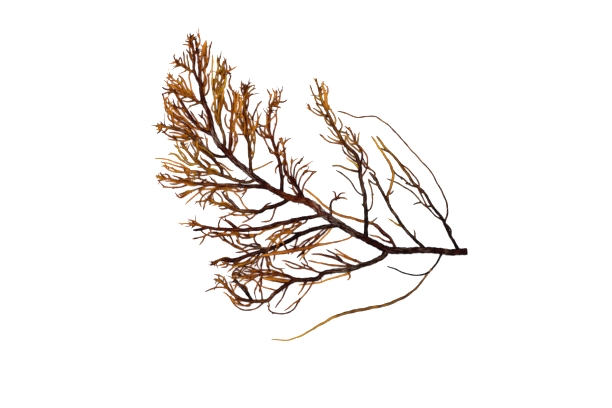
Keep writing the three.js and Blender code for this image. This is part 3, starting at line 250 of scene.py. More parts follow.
shoot("finger_shoot", "main_axis", HIGH,
    stem([0.9, 0.8, 0.6, 0.4], [-4, -6.9], [-4.8, -4], [-6.6, -1.2], [-9, 2.4], [-12, 6], [-13.6, 9.4],
        [-13.2, 13], [-13.6, 18.5], [-14.4, 22], [-15.9, 24.9]),
    twig([0.7, 0.5], [-4.5, -5], [-7.3, -3.4], [-9, -1], [-9.4, 1]),
    twig([0.4, 0.2], [-4.6, -4.5], [-4.4, -1], [-3, 2.6], [-0.4, 5.4], [2.2, 7.9]),
    twig([0.4, 0.2], [-5.6, -2.6], [-6.4, 1], [-5.6, 4.2], [-3.8, 6.7], [-1.5, 7.8], [0.6, 7.9]),
    twig([0.25, 0.12], [-4.5, 6], [-3.6, 7.4], [-2.4, 8.8]),
    twig([0.35, 0.15], [-7, -0.6], [-7.9, 4], [-6.4, 8], [-4, 10.2], [-1, 11.5]),
    twig([0.35, 0.15], [-8, 0.8], [-8.8, 5], [-8.3, 9.4], [-6.6, 12.2], [-4.2, 13.4]),
    twig([0.2, 0.1], [-5.3, 13], [-4.6, 14.7]),
    twig([0.35, 0.2], [-9.2, 2.8], [-10.2, 7], [-9.9, 10.8], [-9.4, 14.2]),
    twig([0.3, 0.2], [-8.6, 1.6], [-10.6, 1.9], [-12.3, 4.1]),
)

shoot("centre_shoot", "main_axis", MID,
    stem([0.9, 0.85, 0.7, 0.6], [-14.9, -3.6], [-14.8, 1], [-15.2, 7], [-16.1, 12.5], [-17.6, 17.5],
        [-19, 22], [-20.8, 26.5], [-21.2, 32], [-20.8, 37], [-19.8, 40.3]),
    twig([0.65, 0.6], [-17.4, 17.6], [-16.9, 20.4], [-16.2, 23.1]),
    twig([0.5, 0.3], [-19, 22.6], [-18.9, 27], [-17.8, 31.5], [-17.5, 36], [-18, 38.6]),
    twig([0.45, 0.35], [-20.2, 25], [-21.9, 29], [-22.4, 34], [-21.9, 38]),
    twig([0.55, 0.15], [-20.2, 39.6], [-21.1, 42.2], [-20.4, 45], [-21.3, 47.6], [-22.6, 49.5]),
    twig([0.25, 0.12], [-20.4, 44.6], [-19.6, 46.9]),
    twig([0.5, 0.6], [-19.8, 40], [-19.3, 42.4], [-18.4, 45]),
    twig([0.45, 0.15], [-19.2, 39.9], [-16.9, 41.4], [-16, 44], [-15.6, 46.6], [-14.6, 49]),
    twig([0.4, 0.35], [-19.4, 40.4], [-18, 42.4], [-17, 44.4]),
    twig([0.25, 0.1], [-16.6, 41.9], [-14, 42.7], [-11.8, 43.9]),
    twig([0.25, 0.2], [-18.8, 39.4], [-16.8, 40.1], [-15, 39.4]),
    twig([0.35, 0.25], [-20, 24.4], [-23.5, 25], [-26.4, 26.5], [-28.6, 29]),
    twig([0.35, 0.25], [-21.2, 31], [-24, 30.5], [-27, 31.4]),
    twig([0.35, 0.2], [-17.6, 16.6], [-20.2, 17], [-21.2, 19], [-22.2, 19.9]),
    twig([0.35, 0.15], [-16.8, 14.8], [-14.6, 17.7], [-12.2, 20]),
    twig([0.3, 0.15], [-15.6, 10], [-14.4, 12], [-13.4, 14.6]),
    twig([0.55, 0.35], [-15.9, 11.4], [-17.6, 9.6], [-17.9, 7.6], [-17.4, 6.3]),
    twig([0.35, 0.3], [-15, 3.6], [-13.8, 5.2], [-12.8, 6.5]),
)

shoot("tall_shoot", "main_axis", HIGH,
    stem([0.85, 0.75, 0.65, 0.5], [-30.4, 6], [-30.5, 11], [-30.9, 17], [-31.4, 22.5], [-32.5, 28],
        [-33.3, 34], [-33.2, 40], [-33.4, 46], [-33.6, 51.6]),
    twig([0.35, 0.3], [-30.4, 8.4], [-26, 9.6], [-22, 11.4], [-18.6, 13.2]),
    twig([0.45, 0.3], [-30.7, 13], [-29.1, 15.6], [-28.6, 20], [-28.2, 25], [-29, 30], [-29.8, 34.5],
        [-31.6, 37.6]),
    twig([0.35, 0.15], [-29.6, 33.4], [-28.4, 37], [-26.6, 40.6], [-24.3, 43.1]),
    twig([0.25, 0.12], [-28.8, 28.6], [-26.6, 31.4], [-26.7, 36.6]),
    twig([0.5, 0.4], [-31.4, 22.8], [-33.8, 26.6], [-34.8, 31], [-36.4, 35], [-38.6, 37.4]),
    twig([0.4, 0.3], [-32.2, 26], [-30.6, 29], [-31, 33], [-32, 36]),
    twig([0.45, 0.15], [-33.4, 45.6], [-31.8, 48.4], [-30.2, 50], [-27.9, 51.1]),
    twig([0.4, 0.15], [-33.3, 44.8], [-31.4, 46.8], [-29.6, 48.4], [-27.4, 49.2]),
    twig([0.3, 0.12], [-33.3, 44], [-31.2, 45.2], [-29.2, 46.9]),
    twig([0.3, 0.12], [-33.4, 46.6], [-32.4, 49.8], [-30.6, 52.2]),
    twig([0.35, 0.15], [-33.4, 44.6], [-34.9, 48.6], [-34.8, 51.8]),
    blade([0.65, 0.6, 0.35], [-33.1, 29.5], [-35.4, 33.6], [-35.3, 38.6], [-34.8, 42], [-35, 45.6]),
    blade([0.55, 0.5, 0.3], [-34.2, 28.4], [-37.2, 32.6], [-37.6, 38], [-37, 43], [-36.2, 48.4]),
    twig([0.4, 0.25], [-37.4, 39.6], [-38.4, 44], [-38.2, 47.8]),
    twig([0.35, 0.25], [-33.2, 40], [-31.6, 41.2]),
    twig([0.3, 0.25], [-32.2, 26.8], [-34.4, 26.2], [-37.2, 26.3]),
)

shoot("inner_shoot", "main_axis", MID,
    stem([0.85, 0.75, 0.6, 0.45], [-40.6, 13.6], [-40.8, 18], [-40.5, 24], [-40.2, 30], [-39.8, 35],
        [-39.6, 39.4], [-38.3, 42.6], [-37.3, 46], [-36.2, 47.9]),
    twig([0.45, 0.35], [-40.8, 16.4], [-38.8, 18.6], [-38.3, 23], [-38.5, 28], [-38.3, 33.6]),
    twig([0.35, 0.25], [-40.7, 18.8], [-39.6, 22], [-39.4, 25]),
    twig([0.4, 0.2], [-39.4, 39.8], [-38.6, 44], [-39.4, 47.6], [-41.8, 51.2]),
    twig([0.35, 0.2], [-39.8, 38.6], [-40.2, 43], [-41.2, 46.4], [-42.6, 49.4]),
    twig([0.3, 0.15], [-41, 49.4], [-41.2, 52.6], [-40, 56.1]),
    twig([0.3, 0.2], [-39.8, 37.6], [-42.4, 38.8], [-43.5, 42], [-43.9, 46]),
    twig([0.35, 0.3], [-40.2, 28.6], [-42.3, 30.4], [-43.2, 33.6], [-42.4, 37]),
    twig([0.4, 0.3], [-40.1, 30], [-38, 33], [-36.8, 35.4]),
)

shoot("amber_shoot", "main_axis", HIGH,
    stem([0.75, 0.7, 0.6, 0.5], [-44.4, 18.4], [-43.4, 22], [-44, 26.4], [-45.4, 31], [-46.2, 36],
        [-46.3, 42], [-46, 47], [-45.2, 52], [-44.3, 57], [-43.8, 60.4]),
    twig([0.65, 0.5], [-45.5, 31.4], [-47, 34.4], [-47.8, 39], [-48.1, 44], [-48.8, 48]),
    blade([0.55, 0.4, 0.2], [-48.6, 47], [-49.5, 52], [-49.4, 58], [-49.4, 66.4]),
    twig([0.5, 0.2], [-48.4, 48], [-47.7, 54], [-46.6, 59.6], [-45.4, 65.8]),
    twig([0.25, 0.12], [-46.2, 61.8], [-47, 64.6]),
    twig([0.45, 0.2], [-45, 53], [-43.2, 56.6], [-42.4, 60], [-43.4, 63.8]),
    twig([0.4, 0.12], [-44.2, 57.4], [-41, 58], [-38.8, 59.3], [-36.8, 60.1]),
    twig([0.2, 0.1], [-40.6, 58.3], [-41.2, 61.1]),
    twig([0.25, 0.12], [-43, 57.7], [-41.2, 56.6], [-39.6, 56.4]),
    blade([0.6, 0.5, 0.3], [-45.9, 47.2], [-43.6, 49.8], [-42.4, 53.6], [-42.6, 56]),
    blade([0.85, 0.7, 0.4], [-46.1, 37.6], [-44.6, 41.6], [-44.1, 46], [-43.6, 49]),
    twig([0.35, 0.2], [-44.6, 43.6], [-43, 42], [-41.6, 38.6]),
)

shoot("crown_shoot", "main_axis", MID,
    stem([1.1, 0.95, 0.8, 0.6, 0.5], [-54.5, 43], [-55.2, 49], [-55.6, 55], [-56, 60], [-56.6, 65],
        [-57.3, 70]),
    stem([0.7, 0.65, 0.5], [-55.3, 51], [-57.4, 54.8], [-58.8, 59], [-58.6, 65], [-59.3, 70],
        [-60.3, 73.4], [-60.3, 76.6]),
    twig([0.35, 0.3], [-60.2, 73], [-61.8, 75.2], [-62, 76.7]),
    twig([0.4, 0.35], [-60, 72.6], [-59.3, 75], [-58.6, 76.7]),
    twig([0.55, 0.2], [-57.3, 69], [-57.8, 72], [-57.3, 74.9]),
    twig([0.4, 0.25], [-57.2, 69.6], [-56, 72], [-56, 75], [-56.6, 77.1]),
    twig([0.4, 0.3], [-59.6, 70.6], [-61.4, 72.4], [-63.7, 73.3]),
    twig([0.35, 0.25], [-59.2, 69.4], [-61.6, 71], [-64.9, 71.3]),
    twig([0.35, 0.15], [-58.6, 65.4], [-60.8, 66.6], [-63, 69.2]),
    twig([0.35, 0.25], [-58.8, 62], [-60.2, 64], [-61.3, 66.6]),
    twig([0.5, 0.45], [-56.1, 60.6], [-54.9, 64], [-54.1, 67.6], [-53.6, 70.6]),
    blade([0.85, 0.95, 0.5], [-53.9, 69], [-53, 71.6], [-52.7, 73.8]),
    twig([0.3, 0.25], [-54.5, 66], [-52.9, 67.4], [-52.4, 70]),
    twig([0.4, 0.3], [-56, 59.6], [-54.4, 58.6], [-53.4, 56], [-53.1, 52.8]),
    twig([0.45, 0.3], [-54, 57.8], [-52.2, 60.8], [-51.4, 65], [-50.8, 69.4], [-49.6, 73.6]),
    twig([0.5, 0.3], [-54.7, 46.6], [-52.6, 46.4], [-51.4, 49.6], [-51.4, 54], [-51.9, 57]),
    twig([0.35, 0.3], [-54.9, 47.8], [-54, 50.6], [-54, 53]),
)

shoot("fan_shoot", "crown_shoot", HIGH,
    stem([0.6, 0.5, 0.3], [-58.2, 57.4], [-61.2, 58.4], [-64, 60.2], [-67.2, 61.9], [-69.7, 62]),
    twig([0.3, 0.2], [-63.6, 60], [-65.8, 61.6], [-67.4, 63.7]),
    twig([0.3, 0.2], [-66.6, 61.6], [-67.7, 63], [-68.4, 65], [-67.6, 66.6]),
    twig([0.3, 0.2], [-63, 59.6], [-64.6, 62.2], [-65.1, 64.8]),
    twig([0.3, 0.12], [-62.2, 59], [-63.2, 62], [-63.6, 66.4]),
    twig([0.3, 0.12], [-60.8, 58.4], [-61.6, 62], [-62, 66.6]),
    twig([0.2, 0.1], [-62, 58.8], [-63.6, 57.1]),
    twig([0.4, 0.3], [-60.6, 58.2], [-61, 54.6], [-60, 49.6], [-58.8, 45.6]),
)

shoot("upper_left_shoot", "main_axis", MID,
    stem([0.65, 0.5, 0.3], [-54.2, 42.2], [-58, 43.2], [-61, 45.4], [-63.8, 48.2], [-66, 51.8],
        [-69, 53.8], [-72.3, 56.8]),
    twig([0.3, 0.12], [-64.6, 49.4], [-64.8, 52.4], [-64.6, 55.3]),
    twig([0.3, 0.12], [-66, 51.4], [-66.7, 53], [-66.7, 55.1]),
    twig([0.35, 0.25], [-60, 44.6], [-60.6, 47.4], [-62, 49.8]),
    twig([0.4, 0.3], [-64.6, 49.2], [-67.4, 49], [-70.6, 51.1]),
    twig([0.35, 0.25], [-61.8, 46], [-65.2, 46.2], [-68, 47.4]),
    twig([0.4, 0.3], [-58, 43.2], [-62, 42.6], [-65, 43.4]),
    twig([0.5, 0.35], [-56, 42.6], [-58.5, 41.2], [-61.6, 40.4]),
)

shoot("dark_left_shoot", "main_axis", LOW,
    stem([0.85, 0.8, 0.7, 0.5], [-49.2, 26], [-52, 27.2], [-55.6, 29.4], [-58.6, 32.4], [-61.4, 36.2],
        [-63.6, 40], [-66.2, 43.6], [-68.2, 47], [-71.4, 50.2]),
    twig([0.3, 0.15], [-71, 49.8], [-72.1, 51.6], [-72.3, 53.4]),
    twig([0.4, 0.2], [-70.4, 49], [-73.2, 49], [-75.2, 50.4]),
    twig([0.45, 0.25], [-69.4, 48.2], [-73, 47.4], [-75.3, 46]),
    twig([0.5, 0.35], [-54.6, 28.6], [-57.6, 29.2], [-60.4, 31.2], [-64, 34.8], [-68, 37.9], [-71, 42],
        [-72.2, 45.4]),
    twig([0.35, 0.25], [-64, 34.8], [-67, 35.4], [-70.6, 38.4]),
    twig([0.45, 0.3], [-56, 29.8], [-57.4, 33], [-59.4, 36.2], [-61, 38.6]),
    twig([0.35, 0.25], [-51.6, 27.2], [-52.4, 30.4], [-53.8, 34], [-57.2, 36.8]),
    twig([0.25, 0.12], [-54.4, 35], [-54.8, 37], [-54.6, 38.9]),
    twig([0.5, 0.3], [-63.6, 40], [-65.4, 39.4], [-68, 40.4], [-69.6, 43.6]),
    twig([0.3, 0.2], [-66, 43.4], [-64, 44.8], [-62.4, 44.6]),
)

shoot("long_left_shoot", "main_axis", MID,
    stem([0.6, 0.85, 0.9, 0.8, 0.45], [-42, 14.6], [-45.2, 15.3], [-49, 16], [-51.8, 18.2], [-55, 21.2],
        [-58.6, 23.8], [-61.4, 26.8], [-66, 28.5], [-71, 29.6], [-75, 30.4], [-78.2, 30]),
    twig([0.35, 0.2], [-74.4, 30.2], [-76, 29.2], [-78, 28.4]),
    twig([0.25, 0.12], [-74.6, 30.2], [-75.6, 28.2], [-77.6, 26.5]),
    twig([0.25, 0.12], [-71.4, 29.6], [-73.4, 27.8], [-75.2, 27]),
    twig([0.3, 0.15], [-73.4, 30.2], [-75.8, 31.6]),
    twig([0.3, 0.15], [-67.8, 29], [-69.1, 31.8], [-69.6, 34.7]),
    twig([0.5, 0.3], [-60, 25.2], [-64, 26.2], [-68.6, 27.2], [-71.6, 27.2]),
    twig([0.6, 0.5, 0.35], [-57, 22.6], [-59.6, 27.2], [-62.6, 31], [-67, 33.8], [-70.6, 36.6],
        [-72.6, 40.6], [-74, 45.2], [-75, 47.4]),
    twig([0.4, 0.2], [-59.4, 24.6], [-63, 23.2], [-67.5, 23.2], [-72.4, 24.2]),
    twig([0.3, 0.15], [-67, 23.2], [-69, 24.7], [-71.8, 25.4]),
    twig([0.35, 0.25], [-58, 23.4], [-56, 24.8], [-53.4, 24.2]),
    twig([0.35, 0.3], [-51.6, 18], [-52.3, 21], [-52.2, 25]),
)

shoot("mid_left_shoot", "main_axis", HIGH,
    stem([0.7, 0.85, 0.8, 0.5], [-27.6, 4], [-31, 2.6], [-36, 2.8], [-41, 4.6], [-46, 6.3], [-50, 7.8],
        [-54, 10.2], [-58, 13.3], [-61.4, 17.4], [-64.4, 20.7], [-65.4, 22.6]),
    twig([0.6, 0.5, 0.3], [-45, 6], [-50, 6.9], [-55, 7.6], [-60, 8], [-65, 9.8], [-70, 11.3],
        [-75.6, 12.7]),
    blade([0.5, 0.45, 0.2], [-60.6, 8.2], [-65, 11.2], [-70, 13.1], [-75, 14.2], [-78.6, 14.2]),
    twig([0.5, 0.3], [-57, 7.7], [-61, 7], [-66, 7.8], [-70, 9.4], [-74.6, 11.2]),
    twig([0.4, 0.25], [-56, 11.6], [-60, 11.8], [-63.4, 14], [-65.6, 17.4], [-66.6, 20.4],
        [-67.6, 23.4]),
    twig([0.4, 0.2], [-57, 11.9], [-60.6, 10.9], [-64, 13], [-67, 15.8], [-70, 16.4], [-72, 15.8]),
    twig([0.4, 0.3], [-57.6, 13], [-57.2, 15.4], [-58.8, 19], [-60.6, 22.8]),
    twig([0.4, 0.3], [-51.8, 8.9], [-50.6, 11], [-52.4, 12.8], [-55.4, 14]),
    twig([0.7, 0.75, 0.65, 0.5], [-44.2, 5.7], [-45, 9], [-47.4, 12], [-50.6, 15.4], [-54.6, 18],
        [-58, 20.6], [-59.6, 23]),
    twig([0.45, 0.35], [-47.8, 12.4], [-45.6, 11.8], [-43.2, 10.2], [-41, 8.6], [-38.4, 7.8]),
    twig([0.35, 0.3], [-63.6, 9], [-61.8, 5.6], [-60, 3], [-59, 2]),
    twig([0.5, 0.35], [-57.8, 7.4], [-58.6, 5], [-58, 3]),
    twig([0.5, 0.35], [-56.6, 7.6], [-56, 5], [-55, 3.2]),
)

shoot("flat_left_shoot", "main_axis", LOW,
    stem([1.0, 0.95, 0.85, 0.65, 0.35], [-21, -0.3], [-26, 0.3], [-32, 0.3], [-38, 0.8], [-46, 1],
        [-54, 1.6], [-61, 2], [-66, 3.1], [-71, 4], [-75, 4.5], [-78, 5.7]),
    twig([0.3, 0.12], [-73, 4.4], [-74.6, 5.8], [-76.4, 7.4]),
    twig([0.3, 0.12], [-73, 4.2], [-75.4, 3.4], [-77.5, 3.3]),
    twig([0.3, 0.15], [-70.6, 4.2], [-72, 6], [-73.6, 6.9]),
    twig([0.4, 0.3], [-64.4, 3], [-67, 4.9], [-70, 5.9]),
    twig([0.45, 0.2], [-60.6, 1.9], [-64.4, 0.4], [-70, -0.2], [-73.4, 0.2], [-75.5, 1.2]),
    twig([0.4, 0.3], [-64.4, 2.6], [-68, 1.6], [-71.8, 1.6]),
    twig([0.5, 0.4, 0.25], [-49, 1], [-54, 0.2], [-60, -2.2], [-64, -4.8], [-65.8, -5.3], [-67.2, -4.2],
        [-68.6, -2.5]),
    twig([0.3, 0.25], [-58.6, -1.6], [-62.4, -2.2], [-65, -3.6]),
    twig([0.35, 0.2], [-56, -0.6], [-55.8, -2.8], [-54, -5]),
    twig([0.65, 0.55, 0.3], [-46, 0.8], [-48.6, -1.6], [-51.4, -5.2], [-53.2, -7.6], [-53.8, -10.2],
        [-54.5, -12.1]),
    twig([0.25, 0.15], [-52.6, -6.2], [-55.6, -7.2], [-58.4, -7.3]),
    twig([0.3, 0.2], [-55.4, 1.8], [-53.8, 3.4], [-52.2, 4.2]),
    twig([0.4, 0.3], [-47, 1.2], [-48.8, 3.2], [-50.6, 4]),
    twig([0.3, 0.2], [-37, 1], [-35.4, 2.4], [-34, 4]),
    twig([0.45, 0.3], [-31.6, 0.2], [-34.4, -1.8], [-38, -2.2], [-42, -1.3], [-46, -0.6]),
    twig([0.3, 0.2], [-32.4, -0.6], [-33.4, -2.8], [-35.2, -3.6]),
)

shoot("lower_mid_shoot", "main_axis", MID,
    stem([0.95, 1.0, 0.95, 0.8, 0.5], [-11.4, -5.8], [-14.6, -7.9], [-19, -9.6], [-23, -10.6],
        [-26, -12.1], [-31, -12.1], [-36, -11.7], [-40, -10.6], [-44, -8.8], [-48.4, -7.6],
        [-51.8, -5.4]),
    twig([0.4, 0.3], [-25, -11.4], [-22.4, -8.9], [-19.6, -7.6]),
    twig([0.45, 0.3], [-16.8, -8.8], [-18.4, -11.4], [-19.2, -14.4], [-21, -16.7], [-25.6, -17.6]),
    twig([0.45, 0.35], [-27, -12.2], [-29.4, -15], [-32, -16.8], [-35.2, -18]),
    twig([0.4, 0.3], [-35.4, -11.8], [-32.6, -14.8], [-30.4, -16.2]),
    twig([0.45, 0.35, 0.5], [-37, -11.5], [-41, -13.9], [-44.8, -15.4], [-46.4, -17.2]),
    twig([0.6, 0.9, 0.35], [-36, -11.6], [-39.4, -8], [-42.4, -5.4], [-45.4, -2]),
    twig([0.4, 0.3], [-41.6, -6], [-42.6, -2.8], [-43.4, -0.8]),
    twig([0.4, 0.3], [-31, -12], [-34.4, -8.2], [-36.5, -4.6], [-39.2, -2.2]),
    twig([0.45, 0.3], [-44.6, -8.6], [-44.8, -5.8], [-46.6, -3.6], [-48.4, -2.4]),
    twig([0.35, 0.25], [-41, -10.2], [-44, -11], [-46.4, -10.6]),
    twig([0.25, 0.12], [-49.4, -7], [-51.3, -9]),
)

shoot("lower_left_shoot", "main_axis", HIGH,
    stem([0.9, 1.0, 1.0, 0.95, 0.8, 0.45], [6, -13.7], [1, -14.9], [-5, -15.8], [-11, -17.2],
        [-17, -18.5], [-22, -20], [-28, -21.1], [-35, -21.5], [-43, -21.2], [-50, -20.6], [-56, -19.1],
        [-61, -18.9]),
    twig([0.35, 0.12], [-59.4, -18.9], [-63, -18.2], [-65.5, -19]),
    twig([0.35, 0.15], [-55, -19.3], [-58.6, -17], [-62.2, -16.2]),
    twig([0.4, 0.75, 0.6], [-51.6, -20.4], [-55.4, -21.2], [-59.4, -21.5]),
    twig([0.4, 0.25], [-51, -20.4], [-50.4, -22.8], [-54, -24.6], [-58.9, -25.9]),
    twig([0.25, 0.12], [-53.4, -24.4], [-54.2, -26.6], [-56, -29.2]),
    twig([0.5, 0.3], [-46, -21], [-46.2, -18.6], [-45.4, -16.4]),
    twig([0.6, 0.85, 0.4], [-36.4, -21.4], [-39, -19.2], [-42, -17.2], [-44.4, -16.3]),
    twig([0.45, 0.3], [-1.6, -15.2], [-3.2, -17.8], [-8, -19.4], [-12.6, -21.8], [-17, -24.4],
        [-20, -27.4], [-22.2, -30.4]),
    twig([0.5, 0.35], [-6.6, -16.2], [-10, -20], [-13.6, -22.4]),
    twig([0.4, 0.3], [-13, -17.6], [-14.2, -20.6], [-15.4, -23], [-15.6, -25.8], [-13.6, -28.6]),
    twig([0.35, 0.2], [-18.8, -26.2], [-22.2, -25.7]),
    twig([0.35, 0.2], [-18.8, -26.2], [-17.4, -28.4], [-16, -29.6]),
    twig([0.5, 0.4], [-22, -20.2], [-25.4, -23.1], [-30, -23.8], [-36, -23.6], [-41, -23.6],
        [-46.4, -22.8]),
    twig([0.4, 0.3], [-27.6, -23.3], [-28.6, -25.6], [-27.4, -28.2], [-26.2, -29.8]),
    twig([0.35, 0.25], [-33.6, -23.6], [-31, -24.8], [-29.8, -25.6]),
    twig([0.4, 0.3], [-41, -23.4], [-39.8, -26], [-38.6, -29.7]),
    twig([0.4, 0.3], [-37.6, -23.5], [-36.4, -26.4], [-35.6, -28.6]),
)

shoot("lower_shoot", "main_axis", MID,
    stem([1.05, 0.95, 1.0, 0.95, 0.85, 0.95, 0.4], [14.6, -19], [10, -19.3], [4, -20.4], [-2, -22.1],
        [-7, -24.4], [-12, -27.2], [-18, -29.9], [-24, -32], [-30, -33.6], [-35, -35.4], [-40, -36.9],
        [-45, -36.4], [-50.5, -39.2]),
    twig([0.5, 0.35], [-3.6, -22.7], [-8, -22.9], [-11.4, -22.9], [-13.2, -21.8]),
    twig([0.65, 0.45], [-20.6, -30.9], [-25, -30.7], [-31, -29.4], [-35.8, -28.4], [-38, -26]),
    twig([0.45, 0.35], [-30.6, -33.7], [-34.6, -31.2], [-39, -28.6], [-43.4, -27], [-47.6, -23.6],
        [-52, -22.6]),
    twig([0.25, 0.12], [-25.6, -30.7], [-26.1, -28.2]),
    twig([0.45, 0.6, 0.5], [9.6, -19.5], [5.6, -23.4], [1, -27.2], [-2.6, -30.6], [-5.6, -33.6],
        [-7.6, -35.6]),
    twig([0.4, 0.35], [8, -19.8], [4.4, -22.6], [-0.2, -26], [-3.4, -28.8], [-4.2, -31.6]),
    blade([0.45, 0.4], [11, -19.5], [8.4, -22.6], [3.6, -27.3], [-0.8, -31], [-4, -34.4],
        [-6.4, -37.2]),
    twig([0.45, 0.35], [-6.6, -24.3], [-7.6, -28], [-9, -31.8], [-10.2, -34]),
    twig([0.45, 0.35], [-14, -28.2], [-12.2, -31.8], [-11.2, -34]),
    twig([0.3, 0.2], [-4.2, -31.8], [-3.6, -35.4], [-1.6, -39.3]),
    twig([0.35, 0.3], [-23, -31.7], [-24.6, -37], [-25.4, -41.6]),
    twig([0.35, 0.25], [-22.4, -31.6], [-22, -37.4], [-21, -42.6]),
    twig([0.3, 0.2], [-21.9, -38], [-18.6, -40.2], [-14, -42]),
    twig([0.45, 0.4], [-18.6, -30.2], [-18.4, -34], [-19, -37.3]),
    twig([0.6, 0.4], [-25.4, -32.6], [-28.8, -36.9], [-33, -38.9], [-38.6, -41]),
    twig([0.5, 0.3], [-39.4, -36.8], [-43.4, -35.2], [-47.6, -36.9], [-49.8, -38]),
    twig([0.45, 0.35], [-42.4, -36.8], [-43.6, -38.6], [-46.2, -38.8]),
    twig([0.45, 0.35], [-41.4, -36.9], [-42.4, -39.6], [-45.5, -40.3]),
    twig([0.35, 0.3], [-36, -35.9], [-38.6, -38.8], [-39.8, -40.4]),
)

shoot("broad_blade", "main_axis", HIGH,
    blade([0.5, 0.45, 0.55, 0.95, 1.05, 0.9, 0.3], [21.6, -24.4], [17, -26.3], [11, -27.7], [4, -28.9],
        [-3, -30.5], [-10, -31.8], [-17, -33], [-25, -34.2]),
)

shoot("low_branch", "main_axis", LOW,
    stem([1.35, 1.15, 1.15, 1.1, 1.05, 0.95, 0.85, 0.8, 0.5], [38, -31.6], [36, -34.4], [32, -37],
        [26, -39], [20, -41.1], [13, -42], [6.6, -42.9], [2.6, -46], [-4, -46.5], [-9, -47], [-14, -50],
        [-18.6, -53.6], [-22.4, -56.9], [-28, -57.3], [-34, -56.5], [-39, -54], [-42.2, -50.4],
        [-45.6, -47.6], [-49.2, -46.4]),
    shaded(blade([0.65, 0.5, 0.3], [26.6, -38.8], [21, -36.3], [16, -33.6], [11.2, -30.7])),
    shaded(blade([0.6, 0.35], [22.4, -37], [17, -35.2], [12.2, -33.2])),
    shaded(blade([0.4, 0.75, 0.35], [23, -40.1], [17, -38.2], [12.6, -36], [6, -34], [-0.4, -33.6])),
    shaded(blade([0.5, 0.55, 0.35], [22, -40.4], [19, -39.6], [11, -39.2], [4, -37.9], [-2, -36.8])),
    blade([0.55, 0.4], [20, -41.2], [18, -43.4], [11, -45.5], [3, -48], [-4, -48.8], [-7, -49.2]),
    twig([0.35, 0.25], [18.6, -42.6], [19.2, -45], [17.7, -47]),
    twig([0.5, 0.4], [6.6, -43], [1, -41.9], [-4, -40.4], [-9.4, -38.2], [-15.2, -36.7]),
    bare(twig([0.4, 0.3], [2.4, -46.2], [-3, -53.4], [-9, -58.6], [-13.8, -62.2])),
    bare(twig([0.35, 0.2], [-5.6, -55.8], [-9.4, -61.6], [-14.4, -63.5], [-19, -62.9], [-21.4, -61],
        [-20.8, -58.4])),
    shaded(blade([0.55, 0.4], [-2.6, -46.5], [-5, -51.4], [-7, -54.6])),
    bare(twig([0.35, 0.2], [-11.4, -48.4], [-15, -56], [-18.4, -61])),
    twig([0.4, 0.25], [-16.6, -52], [-20.6, -51], [-25.4, -49.6]),
    twig([0.85, 0.7, 0.6, 0.5], [-7, -46.8], [-12, -44.6], [-18, -43.4], [-26, -44.2], [-34, -45],
        [-40.4, -46]),
    twig([0.5, 0.35], [-22, -43.7], [-28, -42.5], [-34, -42.2]),
    blade([0.5, 1.1, 1.0, 0.4], [-7.6, -46.8], [-13, -47.1], [-19, -46.2], [-25, -45.6]),
    twig([0.4, 0.35], [-24.6, -44.1], [-26.6, -48], [-29, -53.6]),
    twig([0.35, 0.25], [-27, -44.3], [-31.4, -47.4], [-33.8, -48.4]),
    twig([0.4, 0.75, 0.6], [-34.4, -45], [-37, -43.4], [-40, -43.6]),
    twig([0.5, 0.95, 0.85, 0.45], [-29.6, -57.2], [-32, -53.6], [-35.4, -49.6], [-39.4, -46.8]),
    twig([0.45, 0.35], [-38.8, -54], [-40.2, -50], [-41.2, -47.6]),
    twig([0.35, 0.25], [-42, -50.6], [-43.2, -46.8], [-45.4, -44.6], [-49.2, -43.8]),
)

shoot("long_ribbon", "main_axis", LOW,
    stem([0.55, 0.5], [66, -33.4], [62.6, -38.4], [58.9, -42.6]),
    blade([0.45, 0.75, 0.85, 0.6, 0.35], [58.9, -42.6], [56.9, -45.2], [52.9, -50.3], [48.9, -53.6],
        [43.5, -56.6], [36.2, -59.3], [24.8, -61.5], [14, -64.1], [6, -68], [-0.7, -72], [-7.4, -75.4],
        [-12.7, -76.7], [-20.8, -76.2]),
    thread([0.35, 0.25], [58.9, -42.6], [54.9, -44.1], [51, -44], [46.2, -42.9], [41.5, -40.9],
        [37.5, -39.4]),
)

# The record's material slot of each piece, how much lighter than usual it is, how much more olive
# than red, and how much lighter it grows from its root to its far end
FINISHES = {
    "main_axis": ("stipe", 0.0, -0.1, 0.0),
    "whip_shoot": ("olive_twig", -0.28, 0.2, 0.1),
    "twin_blade_shoot": ("olive_twig", -0.12, 0.1, 0.2),
    "strap_shoot": ("amber_blade", -0.42, -0.7, 0.5),
    "right_shoot": ("olive_twig", 0.0, 0.0, 0.45),
    "curled_twig": ("brown_twig", -0.25, 0.0, 0.0),
    "finger_shoot": ("brown_twig", 0.0, 0.1, 0.2),
    "centre_shoot": ("brown_twig", 0.07, 0.0, 0.1),
    "tall_shoot": ("brown_twig", 0.1, 0.0, 0.0),
    "inner_shoot": ("brown_twig", 0.12, -0.1, 0.0),
    "amber_shoot": ("olive_twig", 0.12, -0.2, 0.1),
    "crown_shoot": ("brown_twig", 0.06, -0.2, -0.14),
    "fan_shoot": ("brown_twig", 0.08, 0.1, 0.1),
    "upper_left_shoot": ("brown_twig", 0.06, 0.0, 0.0),
    "dark_left_shoot": ("brown_twig", 0.08, -0.1, 0.1),
    "long_left_shoot": ("brown_twig", 0.08, 0.0, 0.1),
    "mid_left_shoot": ("olive_twig", 0.12, 0.0, 0.2),
    "flat_left_shoot": ("brown_twig", 0.07, 0.0, 0.1),
    "lower_mid_shoot": ("brown_twig", 0.06, -0.1, 0.0),
    "lower_left_shoot": ("brown_twig", 0.05, -0.1, 0.0),
    "lower_shoot": ("brown_twig", -0.04, 0.0, 0.1),
    "broad_blade": ("amber_blade", 0.02, -0.9, 0.1),
    "low_branch": ("brown_twig", -0.03, -0.1, 0.1),
    "long_ribbon": ("amber_blade", -0.42, 0.4, 0.3),
}

# Shoots that are smooth, with no finer twigs, spines or prongs
SMOOTH_SHOOTS = [
    "whip_shoot",
    "twin_blade_shoot",
    "strap_shoot",
    "curled_twig",
    "long_ribbon",
    "broad_blade",
]

